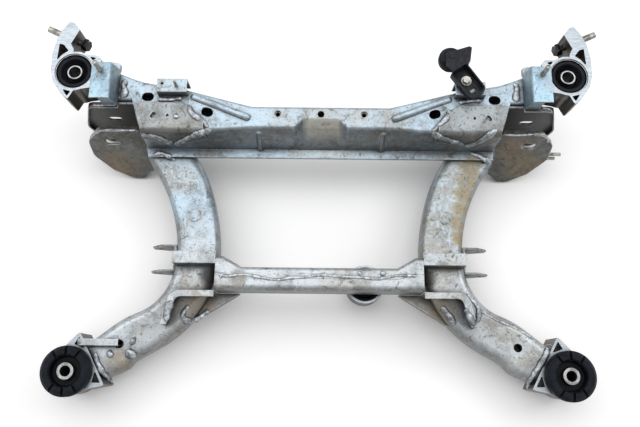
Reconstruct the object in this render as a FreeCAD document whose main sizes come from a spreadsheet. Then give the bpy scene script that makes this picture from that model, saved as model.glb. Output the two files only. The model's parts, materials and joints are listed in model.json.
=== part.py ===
import FreeCAD, Part
import Sketcher
import math
import os

from FreeCAD import Placement, Rotation, Vector

# Rear suspension subframe of a passenger car, welded from aluminium pressings,
# two bent rails and sawn bush housings. Millimetres. +X is the right of the car,
# +Y its rear (the wide crossbeam), +Z up. The frame stands on its lower arm
# brackets and on the sleeves of its two lower bushes.

doc = FreeCAD.newDocument("RearSubframe")

# Driving dimensions, one cell each. Left-hand values; the right side is mirrored.
SIZES = (
    # sheet and fits
    ("wall", 4.0),
    ("seat_gap", 0.3),
    ("trim_gap", 0.5),
    ("ray", 0.5),
    # wide crossbeam, as heights and as places along Y
    ("beam_base", 118.0),
    ("beam_top", 200.0),
    ("beam_wing_top", 203.0),
    ("beam_knee", 181.0),
    ("beam_flange", 18.0),
    ("beam_half_length", 469.7),
    ("pad_half_width", 38.0),
    ("pad_blend", 20.0),
    ("straight_half", 150.0),
    ("wing_start", 240.0),
    ("rail_span", 300.0),
    ("shoulder_span", 386.0),
    ("shoulder_blend", 24.0),
    ("rear_middle", 217.0),
    ("rear_wing", 239.0),
    ("rear_rail", 255.0),
    ("rear_shoulder", 270.0),
    ("rear_end", 302.0),
    ("front_pad", 187.0),
    ("front_middle", 167.0),
    ("front_wing", 157.0),
    ("end_slope", 2.0),
    ("toe_middle", 143.0),
    ("knee_share", 0.7),
    ("nut_spread", 93.0),
    ("nut_line", 199.0),
    ("nut_hole", 7.5),
    ("nut_radius", 8.6),
    ("nut_bore", 5.1),
    ("nut_height", 11.0),
    ("oval_length", 26.0),
    ("oval_width", 20.0),
    ("oval_outer_x", 375.0),
    ("oval_outer_y", 234.0),
    ("oval_inner_x", 245.0),
    ("oval_inner_y", 200.0),
    ("ridge_radius", 9.0),
    ("ridge_rise", 5.0),
    ("ridge_out_x", 275.0),
    ("ridge_out_y", 234.0),
    ("ridge_in_x", 160.0),
    ("ridge_in_y", 190.0),
    ("rib_x", 135.0),
    ("rib_radius", 7.0),
    # rails
    ("waist_x", 266.0),
    ("waist_y", -95.0),
    ("upper_bend", 400.0),
    ("upper_turn", 33.0),
    ("upper_run", 34.0),
    ("lower_bend", 178.0),
    ("arm_turn", 61.0),
    ("arm_run", 134.0),
    ("width_beam", 98.0),
    ("width_waist", 92.0),
    ("width_bend", 86.0),
    ("width_bush", 92.0),
    ("rail_height", 62.0),
    ("rail_corner", 19.0),
    ("arm_top", 101.0),
    ("emboss_radius", 15.0),
    ("emboss_depth", 2.0),
    ("emboss_y", -8.0),
    ("arm_hole", 9.0),
    ("arm_hole_back", 62.0),
    # narrow crossbeam
    ("tie_base", 85.0),
    ("tie_top", 150.0),
    ("tie_rear", -125.0),
    ("tie_seam", -150.0),
    ("tie_front", -175.0),
    ("tie_flare_rear", -102.0),
    ("tie_flare_seam", -139.0),
    ("tie_flare_start", 165.0),
    ("tie_flare_end", 205.0),
    ("tie_corner", 12.0),
    # pockets over the ends of the narrow crossbeam
    ("pocket_outer_x", 311.0),
    ("pocket_rear_wall", -115.0),
    ("pocket_front_wall", -176.0),
    ("pocket_rear_lip", 22.0),
    ("pocket_front_lip", 13.0),
    ("pocket_tail_x", 327.0),
    ("pocket_tail_y", -247.0),
    ("pocket_bend", 26.0),
    # gussets
    ("gusset_reach", 171.0),
    ("gusset_level", 88.0),
    ("gusset_hem", 15.0),
    # upper bush housings
    ("upper_bush_x", 526.0),
    ("upper_bush_y", 275.0),
    ("upper_top", 240.0),
    ("upper_height", 65.0),
    ("upper_bore", 40.5),
    ("upper_ring", 4.5),
    ("upper_sleeve", 16.0),
    ("upper_hole", 12.5),
    ("bush_can", 1.8),
    ("bush_drop", 3.0),
    ("bush_tail", 8.0),
    ("ear_bolt_radius", 7.0),
    ("ear_bolt_length", 92.0),
    ("ear_bolt_level", 213.0),
    ("ear_bolt_turn", 24.5),
    # lower bush housings
    ("lower_height", 70.0),
    ("lower_top", 104.0),
    ("lower_bore", 42.0),
    ("lower_ring", 6.0),
    ("foot_distance", 55.0),
    ("foot_half", 61.0),
    ("lower_disc", 52.0),
    ("lower_disc_height", 20.0),
    ("lower_well", 32.0),
    ("lower_sleeve", 17.5),
    ("lower_hole", 11.0),
    ("lower_sleeve_top", 119.0),
    ("groove_width", 5.0),
    ("groove_depth", 7.0),
    ("groove_step", 35.0),
    # lower arm brackets
    ("ear_plane", 217.0),
    ("ear_clear", 18.0),
    ("dish_lean", 21.0),
    ("dish_foot_y", 112.0),
    ("dish_depth", 14.0),
    ("bolt_slot_out", 64.0),
    ("ear_rim", 9.0),
    ("bolt_slot_level", 121.0),
    ("bolt_slot_length", 31.0),
    ("bolt_slot_width", 18.0),
    # lateral link brackets
    ("link_front_y", -130.0),
    ("link_rear_y", -71.0),
    ("link_reach", 58.0),
    ("link_low", 48.0),
    ("link_bolt", 6.6),
    # box brackets beside the upper housings
    ("box_inner_x", 446.0),
    ("box_slope", 8.0),
    ("box_rear", 294.0),
    ("box_front", 213.0),
    ("stud_radius", 3.0),
    ("stud_length", 34.0),
    # cap plates over the rail joints
    ("cap_inner_x", 247.0),
    ("cap_overhang", 9.0),
    ("cap_rear", 220.0),
    ("cap_point_x", 331.0),
    ("cap_point_z", 148.0),
    # small brackets on the rear edge
    ("perch_inner_x", 288.0),
    ("perch_outer_x", 352.0),
    ("perch_front", 237.0),
    ("perch_rear", 268.0),
    ("perch_top", 223.0),
    # differential bush
    ("diff_x", 100.0),
    ("diff_y", -151.0),
    ("diff_radius", 42.0),
    ("diff_height", 50.0),
    ("diff_bore", 37.0),
    ("diff_sleeve", 14.0),
    ("diff_hole", 7.2),
    # exhaust hanger on the right
    ("hanger_base_x", 331.0),
    ("hanger_base_y", 235.0),
    ("hanger_turn", 34.0),
    ("hanger_width", 44.0),
    ("hanger_length", 66.0),
    ("hanger_lip", 14.0),
    ("hanger_rise", 30.0),
    ("hanger_bolt_along", 38.0),
    ("barrel_across", -4.0),
    ("barrel_along", 93.0),
    ("barrel_radius", 26.0),
    ("barrel_length", 36.0),
    ("barrel_pin", 5.7),
    # sensor bracket on the left arm
    ("sensor_length", 84.0),
    ("sensor_width", 14.0),
    ("sensor_lift", 9.0),
)

sheet = doc.addObject("Spreadsheet::Sheet", "Sizes")
for row, (alias, value) in enumerate(SIZES, start=1):
    sheet.set("A%d" % row, alias)
    sheet.set("B%d" % row, str(value))
    sheet.setAlias("B%d" % row, alias)
doc.recompute()

ALONG_X = Vector(1, 0, 0)
UP = Vector(0, 0, 1)
pieces = []


def size(alias):
    return float(sheet.get(alias))


def bind(item, prop, expression):
    item.setExpression(prop, expression)


def keep(item, label):
    item.Label = label
    pieces.append(item)
    return item


# Outlines

def mix(one, two, share):
    return one + (two - one) * share


def corner_arc(before, corner, after, radius):
    to_before = (before - corner).normalize()
    to_after = (after - corner).normalize()
    half = to_before.getAngle(to_after) / 2
    setback = radius / math.tan(half)
    middle = (to_before + to_after).normalize()
    centre = corner + middle * (radius / math.sin(half))
    start = corner + to_before * setback
    end = corner + to_after * setback
    return start, centre - middle * radius, end


def rounded(corners):
    """Edges of a closed outline; each corner is (point, radius)."""
    count = len(corners)
    arcs = []
    for index, (point, radius) in enumerate(corners):
        before = corners[index - 1][0]
        after = corners[(index + 1) % count][0]
        arcs.append(corner_arc(before, point, after, radius))
    edges = []
    for index, (start, middle, end) in enumerate(arcs):
        edges.append(Part.Arc(start, middle, end))
        edges.append(Part.LineSegment(end, arcs[(index + 1) % count][0]))
    return edges


def flat(points, radius):
    """An outline in a sketch's own plane, with one radius for all its corners."""
    return rounded([(Vector(x, y, 0), radius) for x, y in points])


def wire(edges):
    return Part.Wire([edge.toShape() for edge in edges])


def prism(corners, height, direction=UP):
    return Part.Face(wire(rounded(corners))).extrude(direction * height)


def slot(length, width):
    reach = (length - width) / 2
    half = width / 2
    upper_left, upper_right = Vector(-reach, half, 0), Vector(reach, half, 0)
    lower_left, lower_right = Vector(-reach, -half, 0), Vector(reach, -half, 0)
    return [
        Part.LineSegment(lower_left, lower_right),
        Part.Arc(lower_right, Vector(reach + half, 0, 0), upper_right),
        Part.LineSegment(upper_right, upper_left),
        Part.Arc(upper_left, Vector(-reach - half, 0, 0), lower_left),
    ]


def slot_tool(length, width, height):
    return Part.Face(wire(slot(length, width))).extrude(UP * height)


# Bodies made from sketches

def new_body(name):
    return doc.addObject("PartDesign::Body", name)


def plane_of(body, role):
    for feature in body.Origin.OriginFeatures:
        if feature.Role == role:
            return feature
    raise ValueError(role)


def sketch_on(body, role, edges, lift=0.0):
    sketch = body.newObject("Sketcher::SketchObject", "%s_sketch" % body.Name)
    sketch.AttachmentSupport = (plane_of(body, role), "")
    sketch.MapMode = "FlatFace"
    sketch.AttachmentOffset = Placement(Vector(0, 0, lift), Rotation())
    sketch.addGeometry(edges, False)
    return sketch


def circle_on(body, role, centre, alias, lift=0.0):
    """A sketch with one circle whose radius follows the sheet."""
    circle = Part.Circle(Vector(centre[0], centre[1], 0), UP, size(alias.split()[0]))
    sketch = sketch_on(body, role, [circle], lift)
    from_sheet = " ".join("Sizes.%s" % word if word.isidentifier() else word for word in alias.split())
    index = sketch.addConstraint(radius_constraint())
    sketch.setExpression("Constraints[%d]" % index, from_sheet)
    return sketch


def radius_constraint():
    return Sketcher.Constraint("Radius", 0, 1.0)


def pad(body, sketch, length, reverse=False):
    feature = body.newObject("PartDesign::Pad", "%s_pad" % body.Name)
    feature.Profile = sketch
    feature.Reversed = reverse
    bind(feature, "Length", length)
    doc.recompute()
    return feature


def pocket(body, sketch, length=None, reverse=False):
    before = body.Shape.Volume
    feature = body.newObject("PartDesign::Pocket", "%s_pocket" % body.Name)
    feature.Profile = sketch
    feature.Reversed = reverse
    if length is None:
        feature.Type = "ThroughAll"
    else:
        bind(feature, "Length", length)
    doc.recompute()
    if body.Shape.Volume >= before:
        raise RuntimeError("%s cuts nothing" % feature.Name)
    return feature


def revolve(body, points, radius=0.4):
    """A turned piece about Z from its half section, as (radius, height) points."""
    sketch = sketch_on(body, "XZ_Plane", flat(points, radius))
    feature = body.newObject("PartDesign::Revolution", "%s_turned" % body.Name)
    feature.Profile = sketch
    feature.ReferenceAxis = (sketch, ["V_Axis"])
    feature.Angle = 360.0
    doc.recompute()
    return feature


def place(item, x, y, z, turn=0.0):
    item.Placement = Placement(Vector(x, y, z), Rotation(UP, turn))


def bind_place(item, x, y, z):
    bind(item, "Placement.Base.x", x)
    bind(item, "Placement.Base.y", y)
    bind(item, "Placement.Base.z", z)


def from_shape(name, shape):
    """A piece whose form has no sketch; its sizes are read from the sheet."""
    item = doc.addObject("Part::Feature", name)
    item.Shape = shape
    item.Placement = Placement()
    return item


def trimmed(name, base, *tools):
    """A piece cut back to what it is seated on."""
    for count, tool in enumerate(tools, start=1):
        cut = doc.addObject("Part::Cut", "%s_trim_%d" % (name, count))
        cut.Base = base
        cut.Tool = tool
        base = cut
    doc.recompute()
    return base


def pair(item, name):
    """The left piece and its mirrored twin on the right."""
    keep(item, "%s_left" % name)
    twin = doc.addObject("Part::Mirroring", "%s_twin" % name)
    twin.Source = item
    twin.Normal = ALONG_X
    keep(twin, "%s_right" % name)
    return twin


# Wide crossbeam

def beam_stations():
    """Half of the beam as (x, rear, front top, toe, top) from the middle out."""
    pad_end = size("pad_half_width") + size("pad_blend")
    shoulder_end = size("shoulder_span") + size("shoulder_blend")
    toe = size("toe_middle")
    top, wing_top = size("beam_top"), size("beam_wing_top")
    end_toe = size("ear_plane") + size("wall") + 2 * size("trim_gap")
    end_front = end_toe + size("end_slope")
    return (
        (size("pad_half_width"), size("rear_middle"), size("front_pad"), toe, top),
        (pad_end, size("rear_middle"), size("front_middle"), toe, top),
        (size("straight_half"), size("rear_middle"), size("front_middle"), toe, top),
        (size("wing_start"), size("rear_wing"), size("front_wing"), toe, wing_top),
        (size("rail_span"), size("rear_rail"), size("front_wing"), toe, wing_top),
        (size("shoulder_span"), size("rear_shoulder"), size("front_wing"), toe, wing_top),
        (shoulder_end, size("rear_shoulder") + size("box_slope"), end_front, end_toe, wing_top),
        (size("beam_half_length"), size("rear_end"), end_front, end_toe, wing_top),
    )


def beam_section(station, grow, floor):
    x, rear, front, toe, top = station
    rear_corner, front_corner, knee_corner = 8.0 + grow, 9.0 + grow, 16.0 + grow
    foot = 1.0
    knee = mix(toe, front, size("knee_share"))
    return wire(rounded([
        (Vector(x, rear + grow, floor), foot),
        (Vector(x, rear + grow, top + grow), rear_corner),
        (Vector(x, front - grow / 2, top + grow), front_corner),
        (Vector(x, knee - grow, size("beam_knee")), knee_corner),
        (Vector(x, toe - grow, floor), foot),
    ]))


def both_ways(stations):
    left = [(-s[0],) + s[1:] for s in reversed(stations)]
    return left + list(stations)


def beam_loft(grow, floor, stations=None):
    rows = both_ways(stations or beam_stations())
    return Part.makeLoft([beam_section(row, grow, floor) for row in rows], True, True)


def seam_level():
    return size("beam_base") + size("wall")


def flange_stations():
    return [row for row in beam_stations() if row[0] <= size("shoulder_span")]


def box_loft(rows):
    """A ruled sheet from (x, y one, y two, low, high) rows."""
    wires = []
    for x, one, two, low, high in rows:
        ring = [Vector(x, one, low), Vector(x, two, low), Vector(x, two, high), Vector(x, one, high)]
        wires.append(Part.makePolygon(ring + ring[:1]))
    return Part.makeLoft(wires, True, True)


def beam_flange():
    seam, wall, reach = seam_level(), size("wall"), size("beam_flange")
    rows = [(x, toe - reach, toe + 1, seam, seam + wall) for x, _, _, toe, _ in both_ways(flange_stations())]
    return box_loft(rows)


def ridge(side):
    """The diagonal bead pressed into the top of each wing."""
    radius, rise = size("ridge_radius"), size("ridge_rise")
    level = size("beam_wing_top") - radius + rise
    start = Vector(side * size("ridge_out_x"), size("ridge_out_y"), level)
    end = Vector(side * size("ridge_in_x"), size("ridge_in_y"), level)
    run = end - start
    bead = Part.makeCylinder(radius, run.Length, start, run)
    return bead.fuse([Part.makeSphere(radius, start), Part.makeSphere(radius, end)])


def front_rib(side):
    x, radius = side * size("rib_x"), size("rib_radius")
    inset = radius * 0.45
    knee_y = mix(size("toe_middle"), size("front_middle"), size("knee_share"))
    knee = Vector(x, knee_y + inset, size("beam_knee"))
    foot = Vector(x, size("toe_middle") + inset, seam_level() + size("wall"))
    run = knee - foot
    rib = Part.makeCylinder(radius, run.Length, foot, run)
    return rib.fuse(Part.makeSphere(radius, knee))


def beam_holes():
    drop = 3 * size("wall")
    level = size("beam_top") - drop
    height = 3 * drop
    tools = []
    for x in (-size("nut_spread"), 0.0, size("nut_spread")):
        tools.append(Part.makeCylinder(size("nut_hole"), height, Vector(x, size("nut_line"), level)))
    for side in (-1, 1):
        outer = slot_tool(size("oval_length"), size("oval_width"), height)
        outer.translate(Vector(side * size("oval_outer_x"), size("oval_outer_y"), level))
        inner = slot_tool(size("oval_length"), size("oval_width"), height)
        inner.rotate(Vector(0, 0, 0), UP, side * 20.0)
        inner.translate(Vector(side * size("oval_inner_x"), size("oval_inner_y"), level))
        tools += [outer, inner]
    return tools


def wide_crossbeam():
    wall, seam = size("wall"), seam_level()
    outer = beam_loft(0.0, seam)
    pressing = outer.fuse([beam_flange(), ridge(-1), ridge(1), front_rib(-1), front_rib(1)])
    hollow_rows = list(beam_stations())
    last = hollow_rows[-1]
    hollow_rows[-1] = (last[0] + 1.0,) + last[1:]
    hollow = beam_loft(-wall, seam - 1.0, hollow_rows)
    below = Part.makeBox(1200.0, 400.0, 60.0, Vector(-600.0, 0.0, seam - 60.0))
    upper = pressing.cut([hollow, below] + beam_holes())
    keep(from_shape("upper_pressing", upper.removeSplitter()), "wide_crossbeam_upper")

    keep(from_shape("lower_pressing", lower_plate(0.0)), "wide_crossbeam_lower")


def lower_plate(grow):
    rows = []
    for x, rear, _, toe, _ in both_ways(beam_stations()):
        lip = toe - size("beam_flange") if abs(x) <= size("shoulder_span") else toe
        rows.append((x, lip - grow, rear + grow, size("beam_base") - grow, seam_level() + grow))
    return box_loft(rows)


def beam_envelope(grow):
    """The closed space of the whole crossbeam, grown by a clearance."""
    closed = beam_loft(grow, seam_level())
    rows = []
    for x, rear, _, toe, _ in both_ways(flange_stations()):
        near = toe - size("beam_flange") - grow
        rows.append((x, near, rear, size("beam_base") - grow, seam_level() + size("wall") + grow))
    return closed.fuse([box_loft(rows), lower_plate(grow)])


def crossbeam_nuts():
    nuts = []
    for side in (-1, 1):
        seat = Vector(side * size("nut_spread"), size("nut_line"),
                      size("beam_top") - size("wall") - size("nut_height"))
        nut = Part.makeCylinder(size("nut_radius"), size("nut_height"), seat)
        nuts.append(nut.cut(Part.makeCylinder(size("nut_bore"), size("nut_height"), seat)))
    keep(from_shape("weld_nuts", Part.makeCompound(nuts)), "crossbeam_nuts")


# Rails

def rail_top():
    return size("beam_base") - size("seat_gap")


def bend(start, heading, radius, turn, share):
    """Point and heading after a share of a bend; headings run down from the waist."""
    angle = heading + turn * share
    centre = start + Vector(-math.cos(heading), math.sin(heading), 0) * radius
    return centre + Vector(math.cos(angle), -math.sin(angle), 0) * radius, angle


def rail_path():
    """Centre points and headings of the left rail, crossbeam end first."""
    waist = Vector(-size("waist_x"), size("waist_y"), 0)
    turn_up, turn_down = math.radians(size("upper_turn")), math.radians(size("arm_turn"))
    up_radius = size("upper_bend")
    path = []
    steps = 4
    for step in range(steps, 0, -1):
        angle = -turn_up * step / steps
        drop = Vector(-(1 - math.cos(angle)), -math.sin(angle), 0)
        path.append((waist + drop * up_radius, -angle))
    top, lean = path[0]
    run = Vector(-math.sin(lean), math.cos(lean), 0)
    path.insert(0, (top + run * size("upper_run"), lean))
    path.append((waist, 0.0))
    down_steps = 5
    for step in range(1, down_steps + 1):
        point, angle = bend(waist, 0.0, size("lower_bend"), turn_down, step / down_steps)
        path.append((point, -angle))
    point, angle = path[-1]
    run = Vector(math.sin(angle), -math.cos(angle), 0)
    for share in (0.5, 1.0):
        path.append((point + run * size("arm_run") * share, angle))
    return path


def ease(share):
    share = max(0.0, min(1.0, share))
    return share * share * (3 - 2 * share)


def rail_shape_at(index, count):
    """Width, top and height of the rail at one station."""
    waist, bent = 5, 9
    if index <= waist:
        width = mix(size("width_beam"), size("width_waist"), ease(index / waist))
    elif index <= bent:
        width = mix(size("width_waist"), size("width_bend"), ease((index - waist) / (bent - waist)))
    else:
        width = mix(size("width_bend"), size("width_bush"), ease((index - bent) / (count - 1 - bent)))
    fall = ease((index - waist - 1) / (count - 2 - waist))
    return width, mix(rail_top(), size("arm_top"), fall), size("rail_height")


def rail_section(point, lean, width, top, height, grow):
    """A rounded box across the rail; lean turns it about Z."""
    across = Vector(math.cos(lean), math.sin(lean), 0)
    half = width / 2 + grow
    corner = size("rail_corner") + grow
    high, low = UP * (top + grow), UP * (top - height - grow)
    return wire(rounded([
        (point - across * half + low, corner),
        (point - across * half + high, corner),
        (point + across * half + high, corner),
        (point + across * half + low, corner),
    ]))


def rail_wires(grow):
    path = rail_path()
    wires = []
    for index, (point, lean) in enumerate(path):
        wires.append(rail_section(point, lean, *rail_shape_at(index, len(path)), grow))
    return wires


def rail_space(grow):
    """The closed space of the rail, grown by a clearance."""
    return Part.makeLoft(rail_wires(grow), True, False)


def rail_tube():
    """An outer and an inner skin, joined by a cut face at each end."""
    outer, inner = rail_wires(0.0), rail_wires(-size("wall"))
    faces = Part.makeLoft(outer, False, False).Faces + Part.makeLoft(inner, False, False).Faces
    for end in (0, -1):
        faces += Part.Face(outer[end]).cut(Part.Face(inner[end])).Faces
    shell = Part.makeShell(faces)
    shell.sewShape()
    tube = Part.makeSolid(shell)
    if tube.Volume < 0:
        tube.reverse()
    return tube


def arm_end():
    point, lean = rail_path()[-1]
    return point, Vector(math.sin(lean), -math.cos(lean), 0), lean


def rails():
    tube = rail_tube()
    dimple = Part.makeCone(
        size("emboss_radius") - size("emboss_depth"), size("emboss_radius"), size("emboss_depth"),
        Vector(-size("waist_x") - 9.0, size("emboss_y"), rail_top() - size("emboss_depth")))
    tube = tube.cut(dimple)
    end, out, lean = arm_end()
    hole = end - out * size("arm_hole_back") + UP * (size("arm_top") - 3 * size("wall"))
    tube = tube.cut(Part.makeCylinder(size("arm_hole"), 8 * size("wall"), hole))
    pair(from_shape("rail_tube", tube), "side_rail")


# Narrow crossbeam

def tie_rows(rear, seam, half_length):
    flare_rear, flare_seam = rear[1], seam[1]
    outer = (
        (size("tie_flare_start"), rear[0], seam[0]),
        (size("tie_flare_end"), flare_rear, flare_seam),
        (half_length, flare_rear, flare_seam),
    )
    return [(-x, one, two) for x, one, two in reversed(outer)] + list(outer)


def tie_section(x, back, seam, inset, past_seam):
    """Half of the box section, from its rounded back to the seam."""
    side = 1 if back > seam else -1
    base, top = size("tie_base") + inset, size("tie_top") - inset
    corner = size("tie_corner") - inset
    near = seam - side * past_seam
    far = back - side * inset
    return wire(rounded([
        (Vector(x, near, base), size("ray")),
        (Vector(x, far, base), corner),
        (Vector(x, far, top), corner),
        (Vector(x, near, top), size("ray")),
    ]))


def tie_half(back, seam):
    half_length = tie_half_length()
    rows = tie_rows(back, seam, half_length)
    outer = Part.makeLoft([tie_section(x, b, s, 0.0, 0.0) for x, b, s in rows], True, True)
    inner_rows = tie_rows(back, seam, half_length + 1.0)
    wall = size("wall")
    inner = Part.makeLoft([tie_section(x, b, s, wall, 2.0) for x, b, s in inner_rows], True, True)
    return outer.cut(inner)


def tie_half_length():
    return size("waist_x") - size("width_waist") / 2 - size("seat_gap")


def narrow_crossbeam():
    seam = (size("tie_seam"), size("tie_flare_seam"))
    rear = tie_half((size("tie_rear"), size("tie_flare_rear")), seam)
    front = tie_half((size("tie_front"), size("tie_front")), seam)
    keep(from_shape("tie_rear_half", rear), "narrow_crossbeam_rear")
    keep(from_shape("tie_front_half", front), "narrow_crossbeam_front")


# Pockets and gussets where the narrow crossbeam meets the rails

def pocket_rear(envelope):
    body = new_body("pocket_rear")
    inner, outer = -tie_half_length() - size("seat_gap"), -size("pocket_outer_x")
    wall, back = size("wall"), size("pocket_rear_wall")
    lip = flat([(outer, back - wall), (inner, back - wall), (inner, back + size("pocket_rear_lip")),
                (outer, back + size("pocket_rear_lip"))], size("ray"))
    pad(body, sketch_on(body, "XY_Plane", lip, size("tie_top") - wall), "Sizes.wall")
    web = flat([(outer, back - wall), (inner, back - wall), (inner, back), (outer, back)], size("ray"))
    pad(body, sketch_on(body, "XY_Plane", web, size("tie_top") - wall),
        "Sizes.tie_top - Sizes.wall - Sizes.beam_base + 6", True)
    pair(trimmed("pocket_rear", body, envelope), "pocket_rear")


def tail_outline(near, far):
    """A strip that runs along the pocket's front and turns down the arm."""
    inner = -tie_half_length() - size("seat_gap")
    front = size("pocket_front_wall")
    corner_x, tail_x, tail_y = -size("pocket_outer_x") + near, -size("pocket_tail_x"), size("pocket_tail_y")
    bend_in, bend_out = size("pocket_bend") - near, size("pocket_bend") - far
    return rounded([
        (Vector(inner, front - near, 0), size("ray")),
        (Vector(corner_x, front - near, 0), bend_in),
        (Vector(tail_x + near, tail_y, 0), size("ray")),
        (Vector(tail_x + far, tail_y, 0), size("ray")),
        (Vector(corner_x - near + far, front - far, 0), max(bend_out, 2.0)),
        (Vector(inner, front - far, 0), size("ray")),
    ])


def pocket_front(envelope):
    body = new_body("pocket_front")
    level = size("tie_top") - size("wall")
    pad(body, sketch_on(body, "XY_Plane", tail_outline(0.0, size("pocket_front_lip")), level), "Sizes.wall")
    pad(body, sketch_on(body, "XY_Plane", tail_outline(0.0, size("wall")), level),
        "Sizes.tie_top - Sizes.wall - Sizes.arm_top + 4", True)
    pair(trimmed("pocket_front", body, envelope), "pocket_front")


def gusset(envelope):
    body = new_body("gusset")
    front = size("tie_front") - size("seat_gap")
    reach, hem = size("gusset_reach"), size("wall")
    low_x, low_y = -size("waist_x") - 24.0, size("pocket_tail_y") - 2.0
    plate = flat([(-reach, front), (-reach - 58.0, front - 36.0), (low_x, low_y), (-size("waist_x"), front)],
                 size("ray"))
    pad(body, sketch_on(body, "XY_Plane", plate, size("gusset_level")), "Sizes.wall")
    strip = flat([(-reach, front), (-reach - 58.0, front - 36.0), (low_x, low_y),
                  (low_x + 2.0, low_y + hem), (-reach - 56.0, front - 36.0 + hem), (-reach - 9.0, front)],
                 size("ray"))
    pad(body, sketch_on(body, "XY_Plane", strip, size("gusset_level")), "Sizes.gusset_hem", True)
    pair(trimmed("gusset", body, envelope), "gusset")


# Lower arm brackets

def slot_sketch(body, role, x, y):
    edges = slot(size("bolt_slot_length"), size("bolt_slot_width"))
    for edge in edges:
        edge.translate(Vector(x, y, 0))
    return sketch_on(body, role, edges)


def ear_inner():
    """Where the lower arm bracket begins, outside the crossbeam's shoulder."""
    return -size("shoulder_span") - size("ear_clear")


def bolt_slot_x():
    return ear_inner() - size("bolt_slot_out")


def inset(corners, middle, depth):
    """The same outline, drawn in toward its middle."""
    drawn = []
    for point, radius in corners:
        ray = point - middle
        drawn.append((middle + ray * (1 - depth / ray.Length), max(radius - depth, size("ray"))))
    return drawn


def ear_corners():
    inner, top = ear_inner(), size("beam_wing_top") - size("seat_gap")
    return [
        (Vector(inner, top, 0), 2.0), (Vector(inner - 98.0, top, 0), 20.0), (Vector(inner - 136.0, 95.0, 0), 60.0),
        (Vector(inner - 120.0, 0, 0), 28.0), (Vector(inner - 24.0, 0, 0), 8.0), (Vector(inner, 20.0, 0), 8.0),
    ]


def ear_rim_corners():
    """The edge that is folded forward: along the top, round the outer end, along the foot."""
    corners = ear_corners()
    middle = Vector(ear_inner() - size("bolt_slot_out"), size("beam_wing_top") / 2, 0)
    within = inset(corners, middle, size("wall"))
    start, foot = ear_inner() - 34.0, ear_inner() - 60.0
    outer = [(Vector(start, corners[0][0].y, 0), size("ray")), *corners[1:4],
             (Vector(foot, corners[3][0].y, 0), size("ray"))]
    back = [(Vector(foot, within[3][0].y, 0), size("ray")), *reversed(within[1:4]),
            (Vector(start, within[1][0].y, 0), size("ray"))]
    return outer + back


def rear_ear(rail_space, beam_space):
    body = new_body("arm_ear")
    pad(body, sketch_on(body, "XZ_Plane", rounded(ear_corners())), "Sizes.wall", True)
    pad(body, sketch_on(body, "XZ_Plane", rounded(ear_rim_corners())), "Sizes.ear_rim")
    pocket(body, slot_sketch(body, "XZ_Plane", bolt_slot_x(), size("bolt_slot_level")))
    place(body, 0, size("ear_plane"), 0)
    pair(trimmed("arm_ear", body, rail_space, beam_space), "arm_bracket_rear")


def dish_corners():
    """The dish's outline along its own leaning face."""
    inner, lean = ear_inner(), math.cos(math.radians(size("dish_lean")))
    corners = []
    for out, level, radius in ((-6.0, 156.0, 10.0), (88.0, 154.0, 24.0), (118.0, 124.0, 24.0), (119.0, 78.0, 34.0),
                               (86.0, 28.0, 40.0), (44.0, 0.0, 30.0), (20.0, 0.0, 10.0), (-8.0, 30.0, 11.0),
                               (-18.0, 108.0, 11.0)):
        corners.append((Vector(inner - out, level / lean, 0), radius))
    return corners


def front_dish(rail_space, beam_space):
    body = new_body("arm_dish")
    pad(body, sketch_on(body, "XZ_Plane", rounded(dish_corners())), "Sizes.dish_depth", True)
    middle = Vector(ear_inner() - size("bolt_slot_out") + 10.0, size("bolt_slot_level") * 0.64, 0)
    hollow = inset(dish_corners(), middle, size("wall") * 1.3)
    pocket(body, sketch_on(body, "XZ_Plane", rounded(hollow), -size("dish_depth")),
           "Sizes.dish_depth - Sizes.wall", True)
    lean = math.cos(math.radians(size("dish_lean")))
    pocket(body, slot_sketch(body, "XZ_Plane", bolt_slot_x(), size("bolt_slot_level") / lean))
    rise = size("dish_depth") * math.sin(math.radians(size("dish_lean")))
    body.Placement = Placement(Vector(0, size("dish_foot_y"), rise), Rotation(ALONG_X, -size("dish_lean")))
    pair(trimmed("arm_dish", body, rail_space, beam_space), "arm_bracket_front")


def bracket_web(rail_space, beam_space):
    """The plate that closes the lower arm bracket against the rail."""
    body = new_body("arm_web")
    slope = math.tan(math.radians(size("dish_lean")))
    lean = math.cos(math.radians(size("dish_lean")))
    gap = size("seat_gap")
    high = size("beam_base") - gap
    back = size("dish_foot_y") + (size("dish_depth") + gap) / lean
    low = 22.0
    outline = flat([(back + slope * low, low), (size("ear_plane") - gap, low),
                    (size("ear_plane") - gap, high), (back + slope * high, high)], 1.0)
    pad(body, sketch_on(body, "YZ_Plane", outline), "Sizes.wall", True)
    place(body, ear_inner(), 0, 0)
    pair(trimmed("arm_web", body, rail_space, beam_space), "arm_bracket_web")


# Lateral link brackets

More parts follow.
